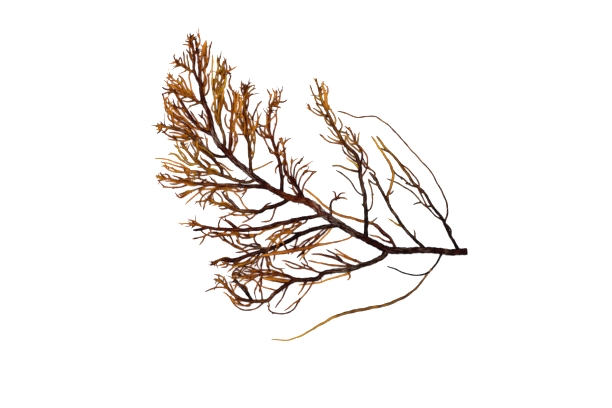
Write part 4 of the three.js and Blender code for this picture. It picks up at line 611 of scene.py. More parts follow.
# How many thin twigs run beside the strands of a shoot, in bundles
BESIDE = {
    "centre_shoot": 3,
    "tall_shoot": 1,
    "amber_shoot": 2,
    "crown_shoot": 3,
    "upper_left_shoot": 3,
    "dark_left_shoot": 2,
    "long_left_shoot": 3,
    "mid_left_shoot": 2,
    "flat_left_shoot": 2,
    "lower_left_shoot": 2,
    "lower_shoot": 3,
    "low_branch": 3,
}

# Their length, least length of the strand beside them, how much of it they may take, and what
# they keep from its ends
BESIDE_LENGTH = (9, 20)
BESIDE_HOST = 10
BESIDE_SHARE = 0.7
BESIDE_MARGIN = 0.08

# How far off they run, how much of that they have reached at even steps of the way, how far they
# sink or rise, and their radii
BESIDE_OFFSET = (1.2, 2.6)
BESIDE_SPREAD = (0, 0.6, 0.95, 1.1, 1.5)
BESIDE_LIFT = (-0.3, 0.5)
BESIDE_GIRTHS = [0.5, 0.46, 0.36]

# Step along a route that gives its direction, and least distance between strands of two shoots
STEP = 0.01
CLEARANCE = 1.9

# The finer twigs that fill out the bundles here: their spacing, length, how far off they run over
# their length, their radii, and how much of that distance they have reached at even steps
FINE_SPACING = (3.5, 8.5)
FINE_LENGTH = (8, 19)
FINE_OFFSET = (0.08, 0.24)
FINE_GIRTHS = [0.44, 0.4, 0.32]
FINE_SPREADS = [BESIDE_SPREAD, (0, 0.8, 1.2, 1.1, 0.5), (0, 0.8, 0.6, -0.3, -1.2)]

# How many times wider than usual they are spaced on a shoot
SPARSE = {
    "right_shoot": 1.5,
    "finger_shoot": 1.8,
    "centre_shoot": 1.7,
    "tall_shoot": 0.8,
    "inner_shoot": 0.7,
    "amber_shoot": 0.7,
    "lower_mid_shoot": 1.2,
    "dark_left_shoot": 1.05,
    "long_left_shoot": 0.75,
    "upper_left_shoot": 0.85,
    "crown_shoot": 0.7,
    "lower_shoot": 1.1,
    "low_branch": 0.95,
}

# The part of a stem, from its root, that they leave bare
BARE_ROOT = 0.2
BARE_ROOTS = {"low_branch": 0.62, "lower_shoot": 0.35, "right_shoot": 0.3}

# Threads at the far ends that are too fine for the plain form, each rooted on its shoot
FINER = {
    "lower_shoot": [
        thread([0.4, 0.35], [-25.8, -34.3], [-32.3, -38.1], [-38.8, -39.8], [-41, -42.3]),
        thread([0.4, 0.3], [-30, -36.4], [-34.6, -40.6], [-38, -44.6], [-38.6, -48]),
    ],
    "low_branch": [
        thread([0.4, 0.35], [-23.8, -43.6], [-29.8, -40.6], [-35.8, -39.6], [-39.8, -37.6]),
        thread([0.4, 0.35], [-32.3, -44.4], [-37.3, -41.4], [-39.5, -44], [-37.6, -48.3], [-38.8, -52]),
        thread([0.4, 0.3], [-24.6, -56.6], [-26.3, -49.2], [-31.3, -45], [-36.8, -42]),
        thread([0.4, 0.3], [-42, -50.6], [-47, -50.2], [-53.8, -52.6]),
        thread([0.4, 0.3], [-38.6, -54.4], [-36.6, -57.6], [-33, -59.6], [-30, -59.2]),
    ],
}

# Seeds of the draws that the plain form is made with too, and of those that are only made here
PLAIN_SEED = 7
FINE_SEED = 11

# The largest number drawn for a random angle, close to a full turn
NEAR_TURN = 6.3

# The plain form is centred on its box, so the routes are moved by as much
SHIFT = np.array([0.136, -0.016, 0])

# How many steps a route is measured in
ROUTE_STEPS = 200

# Length of one ring of a strand's fine surface, fewest steps from ring to ring, how much stouter it
# is than the plain form, whose few sides reach out further, and its least radius
RING = 0.5
FEWEST_RINGS = 6
STOUTNESS = 1.13
LEAST_RADIUS = 0.48

# Length over which a tip narrows, most of a short strand that this takes, how blunt the tip is,
# and over what length and by how much a root spreads where it joins
TIP_LENGTH = 3.0
TIP_SHARE = 0.4
TIP_BLUNTNESS = 2.2
FLARE_LENGTH = 1.3
FLARE = 0.45

# Furrows round a strand: how many coarse and fine ones, and their depth over its radius
COARSE_FURROWS = 3
FINE_FURROWS = 7
FURROW = 0.07

# How much a strand swells and thins over its radius, and over what lengths it does so and twists
SWELL = 0.05
SWELL_LENGTHS = (3, 5)
TWIST_LENGTHS = (14, 26)

# How far a strand strays sideways from its route, over what lengths, and the lengths at its root
# and its tip over which it settles back
STRAY = 0.07
STRAY_LENGTHS = (7.0, 11.0)
STEADY_ROOT = 4
STEADY_TIP = 2

# How far the grain is shifted along a strand for each radian of its own phase
GRAIN_SHIFT = 37

# A short point that grows out of a strand: its rings, sides, thickness over width, the radius it
# ends in and the most that it bends
SPUR_RINGS = 8
SPUR_SIDES = 6
SPUR_FLATNESS = 0.85
SPUR_END = 0.02
SPUR_BEND = 0.35

# The little spines along stems and twigs: spacing, length, radius, how far they turn and lift, and
# how much of the tip they leave bare
SPINE_SPACING = (7.0, 20.0)
SPINE_LENGTH = (0.6, 1.5)
SPINE_RADIUS = 0.28
SPINE_TURN = (0.5, 1.0)
SPINE_LIFT = (-0.2, 0.25)
SPINELESS_TIP = 2

# The two prongs in which some strands end: how far back from the tip each starts, their length and
# radius, and how far they turn and lift
PRONG_BACKS = [(1.5, 2.6), (3, 4.6)]
PRONG_LENGTH = (2.2, 5.2)
PRONG_RADIUS = 0.34
PRONG_TURN = (0.2, 0.5)
PRONG_LIFT = (-0.1, 0.2)

# The curled tuft at the end of a stem: how many curls, how far back from the tip they start, their
# length over that, how far they bend, turn and lift, and how much darker they are
TUFT_CURLS = 9
TUFT_BACK = (2.4, 6.0)
TUFT_SHARE = (0.55, 1.1)
TUFT_BEND = 1.1
TUFT_TURN = (0.1, 0.9)
TUFT_LIFT = (0, 0.3)
TUFT_DARKER = (-0.1, 0.14)

# Radii of strands and the tones that go with them: thick ones are near black and thin ones amber
GIRTHS = [0.25, 0.48, 0.62, 0.8, 1.2]
GIRTH_TONES = [0.76, 0.65, 0.5, 0.36, 0.23]

# The stipe's own change of tone, from its cut end to the crown
STIPE_TONES = [-0.14, -0.2, -0.2, -0.24, -0.17, 0.13, 0.15, -0.1, -0.03, 0.06, 0.08]

# How light the core of the stipe's cut end is
CUT_TONE = 0.55

# The share of strands whose tips are darker, by how much, and over what length
DARK_TIPPED = 0.35
DARK_TIP = 0.35
DARK_TIP_LENGTH = 4


class Draws:
    """Repeatable random numbers, drawn as the plain form's are."""

    MULTIPLIER = 16807
    MODULUS = 2147483647

    def __init__(self, seed):
        self.state = seed

    def part(self):
        self.state = (self.state * self.MULTIPLIER) % self.MODULUS
        return self.state / self.MODULUS

    def between(self, low, high):
        return low + (high - low) * self.part()

    def angle(self):
        return self.between(0, NEAR_TURN)

    def sign(self):
        return 1 if self.part() < 0.5 else -1

    def one_of(self, things):
        return things[math.floor(self.part() * len(things))]


def ease(part):
    t = np.clip(part, 0, 1)
    return t * t * (3 - 2 * t)


def mix(start, end, part):
    return start + (end - start) * part


def round_half_up(number):
    return math.floor(number + 0.5)


def lengths_along(points):
    """How far along a line of points each of them lies."""
    steps = np.linalg.norm(np.diff(points, axis=0), axis=1)
    return np.concatenate([[0], np.cumsum(steps)])


def unit(directions):
    """Directions with a length of one."""
    return directions / np.maximum(np.linalg.norm(directions, axis=-1, keepdims=True), 1e-9)


class Route:
    """A smooth curve through points, measured by its length."""

    def __init__(self, points):
        self.points = np.asarray(points, dtype=float)
        first = 2 * self.points[0] - self.points[1]
        last = 2 * self.points[-1] - self.points[-2]
        self.padded = np.vstack([first, self.points, last])
        self.steps = np.linspace(0, 1, ROUTE_STEPS + 1)
        self.reach = lengths_along(self.at_step(self.steps))
        self.length = self.reach[-1]

    def at_step(self, step):
        """Points at fractions of the way through the list of points."""
        where = np.asarray(step) * (len(self.points) - 1)
        index = np.minimum(where.astype(int), len(self.points) - 2)
        t = (where - index)[:, None]
        before, start, end, after = (self.padded[index + k] for k in range(4))
        slope_in = 0.5 * (end - before)
        slope_out = 0.5 * (after - start)
        bend = -3 * start + 3 * end - 2 * slope_in - slope_out
        turn = 2 * start - 2 * end + slope_in + slope_out
        return start + slope_in * t + bend * t**2 + turn * t**3

    def at(self, along):
        """Points at fractions of the curve's length."""
        reach = np.asarray(along) * self.length
        return self.at_step(np.interp(reach, self.reach, self.steps))


def root_spots(route, joints):
    """The spots along a strand's straight joints where others may take root."""
    centres = route.at(np.linspace(0, 1, joints + 1))
    spots = []
    for i in range(joints):
        steps = math.ceil(np.linalg.norm(centres[i + 1] - centres[i]) / ROOT_SPACING)
        last = steps / 2 if i == joints - 1 else steps
        for k in range(math.ceil(last)):
            spots.append(mix(centres[i], centres[i + 1], k / steps))
    return np.array(spots)


def place(one, onto, level, draws):
    """Gives a strand its curve: its root sits on what it grows from, and it eases to its layer."""
    flat = np.array([point[:2] for point in one["route"]], dtype=float)
    heights = [point[2] if len(point) > 2 else None for point in one["route"]]
    if onto is not None:
        away = np.linalg.norm(onto[:, :2] - flat[0], axis=1)
        root = onto[np.argmin(away)]
        flat[0] = root[:2]
        heights[0] = root[2]
    way = lengths_along(flat)
    length = way[-1]
    down, up = TIP_REACH[level]
    tip = level + mix(down, up, draws.part())
    end = TOUCH if level == LOW else level
    for i, height in enumerate(heights):
        if height is None:
            settled = mix(level, end, ease((way[i] - length / 2) / (length / 2)))
            stem_height = mix(heights[0], settled, ease(way[i] / RISE))
            twig_height = mix(heights[0], tip, ease(way[i] / length))
            heights[i] = float(stem_height if one["kind"] is STEM else twig_height)
    route = Route(np.column_stack([flat, heights]))
    joints = max(2, round_half_up(length / one["kind"]["joint"]))
    return {**one, "curve": route, "spots": root_spots(route, joints)}


def sections(radii, angles, flatness, turn, furrow):
    """The half widths and half thicknesses of a strand's rings, with furrows round them."""
    ridges = 1 + furrow * np.cos(COARSE_FURROWS * angles + turn)
    ridges = ridges * (1 + 0.5 * furrow * np.cos(FINE_FURROWS * angles - 2 * turn))
    wide = radii[:, None] * ridges * np.cos(angles)
    thick = radii[:, None] * ridges * np.sin(angles) * flatness
    return wide, thick


def tube_faces(start, rows, sides):
    """The faces of a tube of rings, with a fan at its root and another at its tip."""
    around = np.arange(sides)
    onward = (around + 1) % sides
    root = start + rows * sides
    last = root - sides
    faces = []
    for low in range(start, last, sides):
        high = low + sides
        quads = np.stack([low + around, low + onward, high + onward, high + around], axis=1)
        faces.extend(quads.tolist())
    roots = np.stack([np.full(sides, root), start + onward, start + around], axis=1)
    tips = np.stack([last + around, last + onward, np.full(sides, root + 1)], axis=1)
    return faces + roots.tolist() + tips.tolist()


class Skin:
    """The mesh of one piece, put together from tubes.

    Each point keeps its tone from dark to light, its hue from red to olive, how near it is to the
    margin of its strand, and its place along and round the strand for the grain."""

    def __init__(self):
        self.points = []
        self.faces = []
        self.tones = []
        self.hues = []
        self.margins = []
        self.grains = []
        self.count = 0

    def tube(self, centres, radii, tones, hue, sides, flatness, twist, furrow, phase):
        """Adds a tube with a flat root, closed to a point at its tip."""
        rows = len(centres)
        ahead = unit(np.gradient(centres, axis=0))
        side = unit(np.cross([0, 0, 1], ahead))
        over = np.cross(ahead, side)
        angles = np.arange(sides) * 2 * math.pi / sides
        wide, thick = sections(radii, angles, flatness, twist[:, None] + phase, furrow)
        roll_cos = np.cos(twist)[:, None]
        roll_sin = np.sin(twist)[:, None]
        across = (wide * roll_cos - thick * roll_sin)[:, :, None]
        above = (wide * roll_sin + thick * roll_cos)[:, :, None]
        rings = centres[:, None, :] + side[:, None, :] * across + over[:, None, :] * above
        tip_point = centres[-1] + ahead[-1] * radii[-1]
        self.points.append(np.vstack([rings.reshape(-1, 3), centres[0], tip_point]))
        self.faces.extend(tube_faces(self.count, rows, sides))
        self.count += rows * sides + 2
        rims = np.concatenate([tones[[1]], tones[1:]])
        self.tones.append(np.concatenate([np.repeat(rims, sides), tones[[0, -1]]]))
        self.hues.append(np.full(rows * sides + 2, hue))
        self.margins.append(np.concatenate([np.tile(np.abs(np.cos(angles)), rows), [0, 1]]))
        ways = lengths_along(centres) + GRAIN_SHIFT * phase
        places = np.stack(np.broadcast_arrays(ways[:, None], wide, thick), axis=2)
        ends = [[ways[0], 0, 0], [ways[-1], 0, 0]]
        self.grains.append(np.vstack([places.reshape(-1, 3), ends]))

    def piece(self, name):
        """Makes the Blender object, moved so that the frame's origin is under its middle."""
        points = (np.vstack(self.points) + SHIFT) * MM
        points[:, 2] = np.maximum(points[:, 2], 0)
        mesh = bpy.data.meshes.new(name)
        mesh.from_pydata(points.tolist(), [], self.faces)
        for label, kept in (("tone", self.tones), ("hue", self.hues), ("margin", self.margins)):
            attribute = mesh.attributes.new(label, "FLOAT", "POINT")
            attribute.data.foreach_set("value", np.concatenate(kept).astype(np.float32))
        grain = mesh.attributes.new("grain", "FLOAT_VECTOR", "POINT")
        grain.data.foreach_set("vector", np.vstack(self.grains).astype(np.float32).ravel())
        mesh.shade_smooth()
        made = bpy.data.objects.new(name, mesh)
        bpy.context.scene.collection.objects.link(made)
        return made


def wave(ways, length, shift=0.0):
    """A wave along a strand."""
    return np.sin(ways * 2 * math.pi / length + shift)


def strayed(centres, ways, draws):
    """Lets a strand stray sideways from its route, and settle back at both of its ends."""
    stray = np.zeros(len(ways))
    for length in STRAY_LENGTHS:
        stray += wave(ways, length, draws.angle())
    steady = ease(ways / STEADY_ROOT) * ease((ways[-1] - ways) / STEADY_TIP)
    sideways = unit(np.column_stack([-np.gradient(centres[:, 1]), np.gradient(centres[:, 0])]))
    centres[:, :2] += sideways * (STRAY * stray * steady)[:, None]
    return centres


def tapered(radii, ways, blunt):
    """Narrows the radii towards the tip and spreads them at the root, unless the strand is cut."""
    if blunt:
        return radii
    length = ways[-1]
    tip = min(TIP_LENGTH, TIP_SHARE * length)
    into = np.clip((ways - (length - tip)) / tip, 0, 1)
    radii = radii * np.sqrt(np.maximum(0, 1 - into**TIP_BLUNTNESS))
    return radii * (1 + FLARE * np.exp(-ways / FLARE_LENGTH))


def shoot_tones(one, centres, radii, paler, outer, span):
    """The tones of a strand by its girth and kind, and by its shoot's finish and reach."""
    tones = np.interp(radii, GIRTHS, GIRTH_TONES)
    tones = tones + one["kind"]["paler"] + one.get("paler", 0) + paler
    root, far = span
    return tones + outer * (np.linalg.norm(centres - root, axis=1) / far - 0.5)


def grow(skin, placed, finish, span, draws, smooth=False, blunt=False):
    """Adds one strand, with its spines and the prongs of its tip, to a piece's skin."""
    _, paler, olive, outer = finish
    kind = placed["kind"]
    route = placed["curve"]
    rows = max(FEWEST_RINGS, math.ceil(route.length / RING)) + 1
    along = np.linspace(0, 1, rows)
    ways = along * route.length
    centres = strayed(route.at(along), ways, draws)
    girths = placed["girths"]
    radii = np.interp(along, np.linspace(0, 1, len(girths)), girths)
    radii = np.maximum(radii * STOUTNESS, LEAST_RADIUS)
    tones = shoot_tones(placed, centres, radii, paler, outer, span)
    if blunt:
        tones = tones + np.interp(along, np.linspace(0, 1, len(STIPE_TONES)), STIPE_TONES)
        tones[0] = CUT_TONE
    else:
        tones = tones + draws.between(*kind["tone_range"]) + kind["outward"] * (along - 0.5)
    if draws.part() < DARK_TIPPED:
        from_tip = route.length - ways
        tones = tones - DARK_TIP * ease((DARK_TIP_LENGTH - from_tip) / DARK_TIP_LENGTH)
    radii = radii * (1 + SWELL * wave(ways, draws.between(*SWELL_LENGTHS), draws.angle()))
    radii = tapered(radii, ways, blunt)
    twist = kind["twist"] * wave(ways, draws.between(*TWIST_LENGTHS))
    phase = draws.angle()
    hue = draws.part() + olive
    skin.tube(centres, radii, tones, hue, kind["sides"], kind["flatness"], twist, FURROW, phase)
    if smooth:
        return
    if kind in (STEM, TWIG):
        grow_spines(skin, centres, radii, tones, ways, hue, draws)
    if blunt:
        return
    if draws.part() < kind["pronged"]:
        grow_prongs(skin, centres, tones, ways, hue, draws)
    if kind is STEM:
        grow_tuft(skin, centres, tones, ways, draws)


def spur(skin, root, heading, length, radius, tone, hue, draws, most_bend=SPUR_BEND):
    """Adds one short curved point that grows out of a strand."""
    along = np.linspace(0, 1, SPUR_RINGS)
    bend = draws.between(-most_bend, most_bend)
    turned = np.array([-heading[1], heading[0], 0])
    ways = along * length
    centres = root + heading * ways[:, None] + turned * (bend * ways * along)[:, None]
    radii = radius * np.sqrt(np.maximum(0.0, 1 - along**2)) + SPUR_END
    tones = np.full(SPUR_RINGS, tone)
    untwisted = np.zeros(SPUR_RINGS)
    phase = draws.part()
    skin.tube(centres, radii, tones, hue, SPUR_SIDES, SPUR_FLATNESS, untwisted, 0.0, phase)


def branching(centres, ways, way, angle, lift):
    """The ring at some way along a strand, and a direction turned off the strand's own there."""
    ring = int(np.searchsorted(ways, way))
    ahead = unit(centres[ring] - centres[ring - 1])
    cos = math.cos(angle)
    sin = math.sin(angle)
    turned = [ahead[0] * cos - ahead[1] * sin, ahead[0] * sin + ahead[1] * cos, lift]
    return ring, unit(np.array(turned))


def grow_spines(skin, centres, radii, tones, ways, hue, draws):
    """Adds the little spines along a strand."""
    way = draws.between(*SPINE_SPACING)
    while way < ways[-1] - SPINELESS_TIP:
        angle = draws.sign() * draws.between(*SPINE_TURN)
        ring, heading = branching(centres, ways, way, angle, draws.between(*SPINE_LIFT))
        length = draws.between(*SPINE_LENGTH) + radii[ring]
        spur(skin, centres[ring], heading, length, SPINE_RADIUS, tones[ring], hue, draws)
        way += draws.between(*SPINE_SPACING)


def grow_prongs(skin, centres, tones, ways, hue, draws):
    """Adds a prong on either side of a strand's tip, as far as the strand is long enough."""
    turn = draws.sign()
    backs = [draws.between(*reach) for reach in PRONG_BACKS]
    for back in backs:
        if ways[-1] > 2 * back:
            way = ways[-1] - back
            angle = turn * draws.between(*PRONG_TURN)
            ring, heading = branching(centres, ways, way, angle, draws.between(*PRONG_LIFT))
            length = draws.between(*PRONG_LENGTH)
            spur(skin, centres[ring], heading, length, PRONG_RADIUS, tones[ring], hue, draws)
        turn = -turn


def grow_tuft(skin, centres, tones, ways, draws):
    """Adds the curled tuft at the end of a stem."""
    for _ in range(TUFT_CURLS):
        back = min(draws.between(*TUFT_BACK), ways[-1] / 2)
        way = ways[-1] - back
        angle = draws.sign() * draws.between(*TUFT_TURN)
        ring, heading = branching(centres, ways, way, angle, draws.between(*TUFT_LIFT))
        length = back * draws.between(*TUFT_SHARE)
        tone = tones[ring] - draws.between(*TUFT_DARKER)
        hue = draws.part()
        spur(skin, centres[ring], heading, length, PRONG_RADIUS, tone, hue, draws, TUFT_BEND)


def beside(route, start, reach, offset, lift, girths, spreads):
    """A thin twig that leaves a strand and then runs beside it, as they do in a bundle."""
    along = start + reach * np.linspace(0, 1, len(spreads))
    centres = route.at(along)
    ahead = route.at(along + STEP) - route.at(along - STEP)
    ahead = unit(ahead[:, :2])
    spread = offset * np.array(spreads)
    centres[:, 0] -= ahead[:, 1] * spread
    centres[:, 1] += ahead[:, 0] * spread
    centres[:, 2] += lift * np.linspace(0, 1, len(spreads))
    return thread(girths, *centres.tolist())


def is_clear(one, others):
    """Whether a strand keeps its distance from the spots of all the others."""
    return all(np.min(np.linalg.norm(others - spot, axis=1)) > CLEARANCE for spot in one["spots"])


def span_of(strands):
    """Where a shoot is rooted, and how far it reaches from there."""
    root = strands[0]["spots"][0]
    far = max(np.max(np.linalg.norm(one["spots"] - root, axis=1)) for one in strands)
    return root, far


def keep_if_clear(name, host, thin_twig, others, draws):
    """Places a thin twig on its strand, unless it would meet another shoot."""
    placed = place(thin_twig, host["spots"], shoots[name]["level"], draws)
    if is_clear(placed, others):
        placed_strands[name].append(placed)
        spots_on[name] = np.vstack([spots_on[name], placed["spots"]])


def spots_of_others(name):
    return np.vstack([spots for other, spots in spots_on.items() if other != name])


def add_bundle(name, count, draws):
    """Adds the thin twigs that the plain form has too."""
    long_ones = [one for one in placed_strands[name] if one["curve"].length > BESIDE_HOST]
    others = spots_of_others(name)
    for _ in range(count):
        host = draws.one_of(long_ones)
        route = host["curve"]
        reach = min(draws.between(*BESIDE_LENGTH), BESIDE_SHARE * route.length) / route.length
        start = draws.between(BESIDE_MARGIN, 1 - BESIDE_MARGIN - reach)
        offset = draws.sign() * draws.between(*BESIDE_OFFSET)
        lift = draws.between(*BESIDE_LIFT)
        thin_twig = beside(route, start, reach, offset, lift, BESIDE_GIRTHS, BESIDE_SPREAD)
        keep_if_clear(name, host, thin_twig, others, draws)


def add_fine_twigs(name, draws):
    """Fills out a shoot with finer twigs, spaced evenly along all of its strands."""
    others = spots_of_others(name)
    hosts = [one for one in placed_strands[name] if one["kind"] is not BLADE and "bare" not in one]
    sparse = SPARSE.get(name, 1)
    for host in hosts:
        route = host["curve"]
        bare_part = BARE_ROOTS.get(name, BARE_ROOT) if host["kind"] is STEM else 0
        way = bare_part * route.length + draws.between(*FINE_SPACING) * sparse
        end = (1 - BESIDE_MARGIN) * route.length
        while way < end - FINE_LENGTH[0]:
            reach = min(draws.between(*FINE_LENGTH), end - way) / route.length
            offset = draws.sign() * draws.between(*FINE_OFFSET) * reach * route.length
            lift = draws.between(*BESIDE_LIFT)
            spreads = draws.one_of(FINE_SPREADS)
            start = way / route.length
            thin_twig = beside(route, start, reach, offset, lift, FINE_GIRTHS, spreads)
            keep_if_clear(name, host, thin_twig, others, draws)
            way += draws.between(*FINE_SPACING) * sparse


# The stipe comes first, then the drawn strands of each shoot, and then the finer ones. Each piece
# keeps the spots where others may take root on it.
plain = Draws(PLAIN_SEED)
fine = Draws(FINE_SEED)
stipe_placed = place(stipe_strand, None, MID, plain)
spots_on = {"main_axis": stipe_placed["spots"]}
placed_strands = {}
skins = {"main_axis": Skin()}
stipe_span = span_of([stipe_placed])
grow(skins["main_axis"], stipe_placed, FINISHES["main_axis"], stipe_span, fine, blunt=True)

for name, drawn in shoots.items():
    placed_strands[name] = []
    onto = spots_on[drawn["parent"]]
    own_spots = []
    for one in drawn["strands"]:
        placed = place(one, onto, drawn["level"], plain)
        placed_strands[name].append(placed)
        own_spots.append(placed["spots"])
        onto = np.vstack(own_spots)
    spots_on[name] = onto

for name, count in BESIDE.items():
    add_bundle(name, count, plain)

for name in shoots:
    if name not in SMOOTH_SHOOTS:
        add_fine_twigs(name, fine)

for name, threads in FINER.items():
    for one in threads:
        placed_strands[name].append(place(one, spots_on[name], shoots[name]["level"], fine))

for name, strands in placed_strands.items():
    skins[name] = Skin()
    span = span_of(strands)
    for placed in strands:
        grow(skins[name], placed, FINISHES[name], span, fine, smooth=name in SMOOTH_SHOOTS)


# How much patches, blotches and streaks change the tone, and blotches the hue
PATCH = 0.5
BLOTCH = 0.35
STREAK = 0.34
HUE_BLOTCH = 0.8

# How steeply the painted shade darkens a strand towards its margins
MARGIN_STEEPNESS = 2.5

# How fine the patches, blotches, grain and wrinkles are, and how the streaks stretch along a strand
PATCH_SCALE = 60.0
BLOTCH_SCALE = 190.0
GRAIN_SCALE = 1700.0
WRINKLE_SCALE = 1900.0
STREAK_SCALE = 1.3
STRETCH = (0.22, 1.6, 1.6)

# How softly red turns to olive, and one streak to the next
OLIVE_EDGE = 0.25
STREAK_EDGE = 0.13

# The painted glints of the woody stems, pale highlights and a rim sheen painted into the colour: their
# colour, how much of them lies on streaks, patches and margins, how much is needed to show, and how
# steeply they come and go as the tone rises from 0 to a half
PAINTED_GLINT = (0.30, 0.245, 0.19, 1.0)
GLINT_ON_STREAKS = 1.7
GLINT_ON_PATCHES = 3.4
GLINT_ON_MARGINS = 0.4
UNSEEN_GLINT = 0.5
WOODY_STEEPNESS = 5.0

# How rough the surface is, how much its grain changes that, and the parts that grain, wrinkles and
# streaks have in its relief, with the strength of the relief and its depth in metres
ROUGHNESS = 0.5
ROUGHNESS_GRAIN = 0.3
RELIEF_GRAIN = 0.4
RELIEF_WRINKLES = 0.3
RELIEF_STREAKS = 0.9
RELIEF_STRENGTH = 0.6
RELIEF_DEPTH = 0.00025

# Colours from darkest to lightest tone, of redder and of more olive strands
REDS = [
    (0.0, (0.007, 0.002, 0.002)),
    (0.2, (0.035, 0.004, 0.002)),
    (0.42, (0.104, 0.014, 0.003)),
    (0.65, (0.270, 0.062, 0.003)),
    (1.0, (0.560, 0.190, 0.008)),
]
OLIVES = [
    (0.0, (0.006, 0.004, 0.004)),
    (0.2, (0.030, 0.010, 0.004)),
    (0.42, (0.115, 0.036, 0.004)),
    (0.65, (0.260, 0.100, 0.003)),
    (1.0, (0.480, 0.240, 0.008)),
]


class Wire:
    """An output of a material's nodes. An expression on wires adds the math nodes it needs."""

    def __init__(self, tree, socket=None):
        self.tree = tree
        self.socket = socket

    def plug(self, value, socket):
        """Links a wire to a socket, or sets the socket to a plain value."""
        if isinstance(value, Wire):
            self.tree.links.new(value.socket, socket)
        else:
            socket.default_value = value

    def math(self, operation, first, second):
        return self.node("ShaderNodeMath", {0: first, 1: second}, operation=operation)

    def __add__(self, other):
        return self.math("ADD", self, other)

    def __sub__(self, other):
        return self.math("SUBTRACT", self, other)

    def __rsub__(self, other):
        return self.math("SUBTRACT", other, self)

    def __mul__(self, other):
        return self.math("MULTIPLY", self, other)

    def __pow__(self, other):
        return self.math("POWER", self, other)

    def node(self, kind, inputs, output=0, stops=None, **settings):
        """Adds any other node, with its settings and its inputs, and gives one of its outputs."""
        node = self.tree.nodes.new(kind)
        for key, value in settings.items():
            setattr(node, key, value)
        if stops:
            elements = node.color_ramp.elements
            while len(elements) < len(stops):
                elements.new(1.0)
            for element, (where, colour) in zip(elements, stops):
                element.position = where
                element.color = (*colour, 1.0)
        for key, value in inputs.items():
            self.plug(value, node.inputs[key])
        return Wire(self.tree, node.outputs[output])


def kept_positive(wire):
    return wire.math("MAXIMUM", wire, 0.0)


def rises(wire, threshold, softness):
    """Goes from 0 to 1 as a wire's value passes a threshold."""
    inputs = {"Value": wire, "From Min": threshold - softness, "From Max": threshold + softness}
    return wire.node("ShaderNodeMapRange", inputs, clamp=True)


def blend(part, below, above):
    """Mixes two colours."""
    values = {0: part, 6: below, 7: above}
    return part.node("ShaderNodeMix", values, output=2, data_type="RGBA")


def ramp(wire, stops):
    """A colour that changes with a wire's value, from a list of (place, colour)."""
    return wire.node("ShaderNodeValToRGB", {"Fac": wire}, stops=stops)


def noise(place, scale, detail):
    """Random values at a place, about as much below as above zero."""
    inputs = {"Vector": place, "Scale": scale, "Detail": detail}
    return place.node("ShaderNodeTexNoise", inputs) - 0.5


def kept_on(start, label, output="Fac"):
    """What the points of a skin keep under a label."""
    return start.node("ShaderNodeAttribute", {}, output, attribute_name=label)


def new_material(name):
    """A material, the first wire of its nodes and its shader's inputs."""
    material = bpy.data.materials.new(name)
    material.use_nodes = True
    shader = material.node_tree.nodes["Principled BSDF"]
    return material, Wire(material.node_tree), shader.inputs


def dried_thallus(name, olive_share, painted_glint_amount, painted_margin_shade, gloss):
    """Dried seaweed, dark to light by tone and red to olive by hue, with painted shade at its margins.

    Fine streaks run along each strand, patches are paler, and painted glints, pale highlights painted
    into the colour, lie on the dark stems."""
    material, start, looks = new_material(name)
    tone = kept_on(start, "tone")
    hue = kept_on(start, "hue")
    margin = kept_on(start, "margin")
    grain = kept_on(start, "grain", "Vector")
    here = start.node("ShaderNodeTexCoord", {}, "Object")
    along = start.node("ShaderNodeMapping", {"Vector": grain, "Scale": STRETCH})
    streaks = rises(noise(along, STREAK_SCALE, 3.0), 0.0, STREAK_EDGE) - 0.5
    patches = noise(here, PATCH_SCALE, 2.0)
    blotches = noise(here, BLOTCH_SCALE, 3.0)
    fine_grain = noise(here, GRAIN_SCALE, 4.0)
    wrinkles = start.node("ShaderNodeTexVoronoi", {"Vector": here, "Scale": WRINKLE_SCALE})

    shade = tone + patches * PATCH + blotches * BLOTCH + streaks * STREAK
    # Painted shade: each strand is darkened towards its margins, standing in for less light passing
    # through its edges
    shade = shade - margin**MARGIN_STEEPNESS * painted_margin_shade
    olive_part = rises(hue + blotches * HUE_BLOTCH, olive_share, OLIVE_EDGE)
    body = blend(olive_part, ramp(shade, REDS), ramp(shade, OLIVES))
    woody = kept_positive(tone * WOODY_STEEPNESS * (1.0 - tone * 2.0))
    # Painted glints: pale highlights and a rim sheen painted into the colour of the dark stems
    glint_mask = streaks * GLINT_ON_STREAKS + patches * GLINT_ON_PATCHES + margin**4 * GLINT_ON_MARGINS
    glint_shown = kept_positive(glint_mask - UNSEEN_GLINT)
    start.plug(blend(glint_shown * woody * painted_glint_amount, body, PAINTED_GLINT), looks["Base Color"])

    start.plug(fine_grain * ROUGHNESS_GRAIN + ROUGHNESS, looks["Roughness"])
    looks["Specular IOR Level"].default_value = gloss
    relief = fine_grain * RELIEF_GRAIN + wrinkles * RELIEF_WRINKLES + streaks * RELIEF_STREAKS
    bump = {"Height": relief, "Strength": RELIEF_STRENGTH, "Distance": RELIEF_DEPTH}
    start.plug(start.node("ShaderNodeBump", bump), looks["Normal"])
    return material


# Each slot's material: the hue at which olive begins, and how much painted glint, painted shade at the
# margins and gloss it has
materials = {
    "stipe": dried_thallus("stipe", 0.9, 1.8, 0.1, 0.015),
    "brown_twig": dried_thallus("brown_twig", 0.85, 0.8, 0.55, 0.015),
    "olive_twig": dried_thallus("olive_twig", 0.4, 0.3, 0.6, 0.03),
    "amber_blade": dried_thallus("amber_blade", 0.5, 0.2, 0.45, 0.06),
}

for name, skin in skins.items():
    made = skin.piece(name + "_skin")
    made.data.materials.append(materials[FINISHES[name][0]])
    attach(made, "root")
    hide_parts(name)

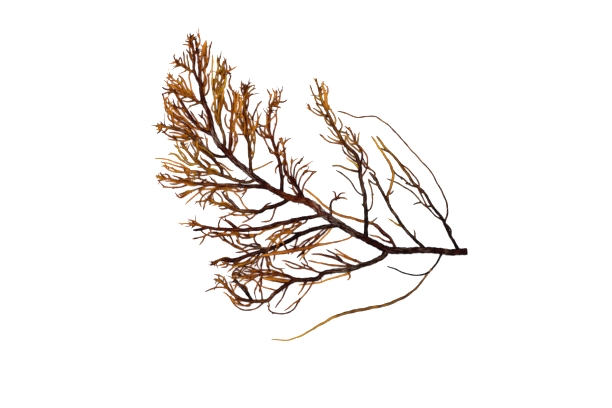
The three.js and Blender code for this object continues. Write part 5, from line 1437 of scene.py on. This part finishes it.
# The white surface that the frond lies on glows faintly, as over a light table
SURFACE_SIZE = 4.0
GLOW = 0.65
PAPER_SCALE = 90.0
PAPER_WHITES = [(0.35, (0.90, 0.90, 0.90)), (0.65, (0.94, 0.94, 0.94))]

bpy.ops.mesh.primitive_plane_add(size=SURFACE_SIZE, location=(0, 0, 0))
surface = bpy.context.object
surface.name = "white_surface"
paper, paper_start, paper_looks = new_material("white_surface")
paper_here = paper_start.node("ShaderNodeTexCoord", {}, "Object")
fibre_inputs = {"Vector": paper_here, "Scale": PAPER_SCALE, "Detail": 4.0}
fibre = paper_start.node("ShaderNodeTexNoise", fibre_inputs)
paper_start.plug(ramp(fibre, PAPER_WHITES), paper_looks["Base Color"])
paper_looks["Roughness"].default_value = 0.9
paper_looks["Specular IOR Level"].default_value = 0.1
paper_looks["Emission Color"].default_value = (1, 1, 1, 1)
paper_looks["Emission Strength"].default_value = GLOW
surface.data.materials.append(paper)

# Soft white light from all round, with a large soft box above
SKY_STRENGTH = 0.8
BOX_PLACE = (-0.5, 0.45, 0.9)
BOX_TURN = (math.radians(-32), math.radians(-30), 0)
BOX_POWER = 9
BOX_SIZE = 0.8

world = bpy.data.worlds.new("studio")
bpy.context.scene.world = world
world.use_nodes = True
sky = world.node_tree.nodes["Background"].inputs
sky["Color"].default_value = (1, 1, 1, 1)
sky["Strength"].default_value = SKY_STRENGTH

bpy.ops.object.light_add(type="AREA", location=BOX_PLACE)
box = bpy.context.object
box.name = "soft_box"
box.data.energy = BOX_POWER
box.data.size = BOX_SIZE
box.rotation_euler = BOX_TURN

# The camera looks straight down through a long lens, as in the photo. Its view, height and place
# are in millimetres, and so is its sensor's width.
VIEW_WIDTH = 306
VIEW_MIDDLE = (-2.6, -8.5)
CAMERA_HEIGHT = 1300
SENSOR = 36

camera_place = (VIEW_MIDDLE[0] * MM, VIEW_MIDDLE[1] * MM, CAMERA_HEIGHT * MM)
bpy.ops.object.camera_add(location=camera_place)
camera = bpy.context.object
camera.data.sensor_width = SENSOR
camera.data.lens = SENSOR * (CAMERA_HEIGHT - MID) / VIEW_WIDTH
bpy.context.scene.camera = camera
bpy.context.scene.view_settings.view_transform = "Standard"
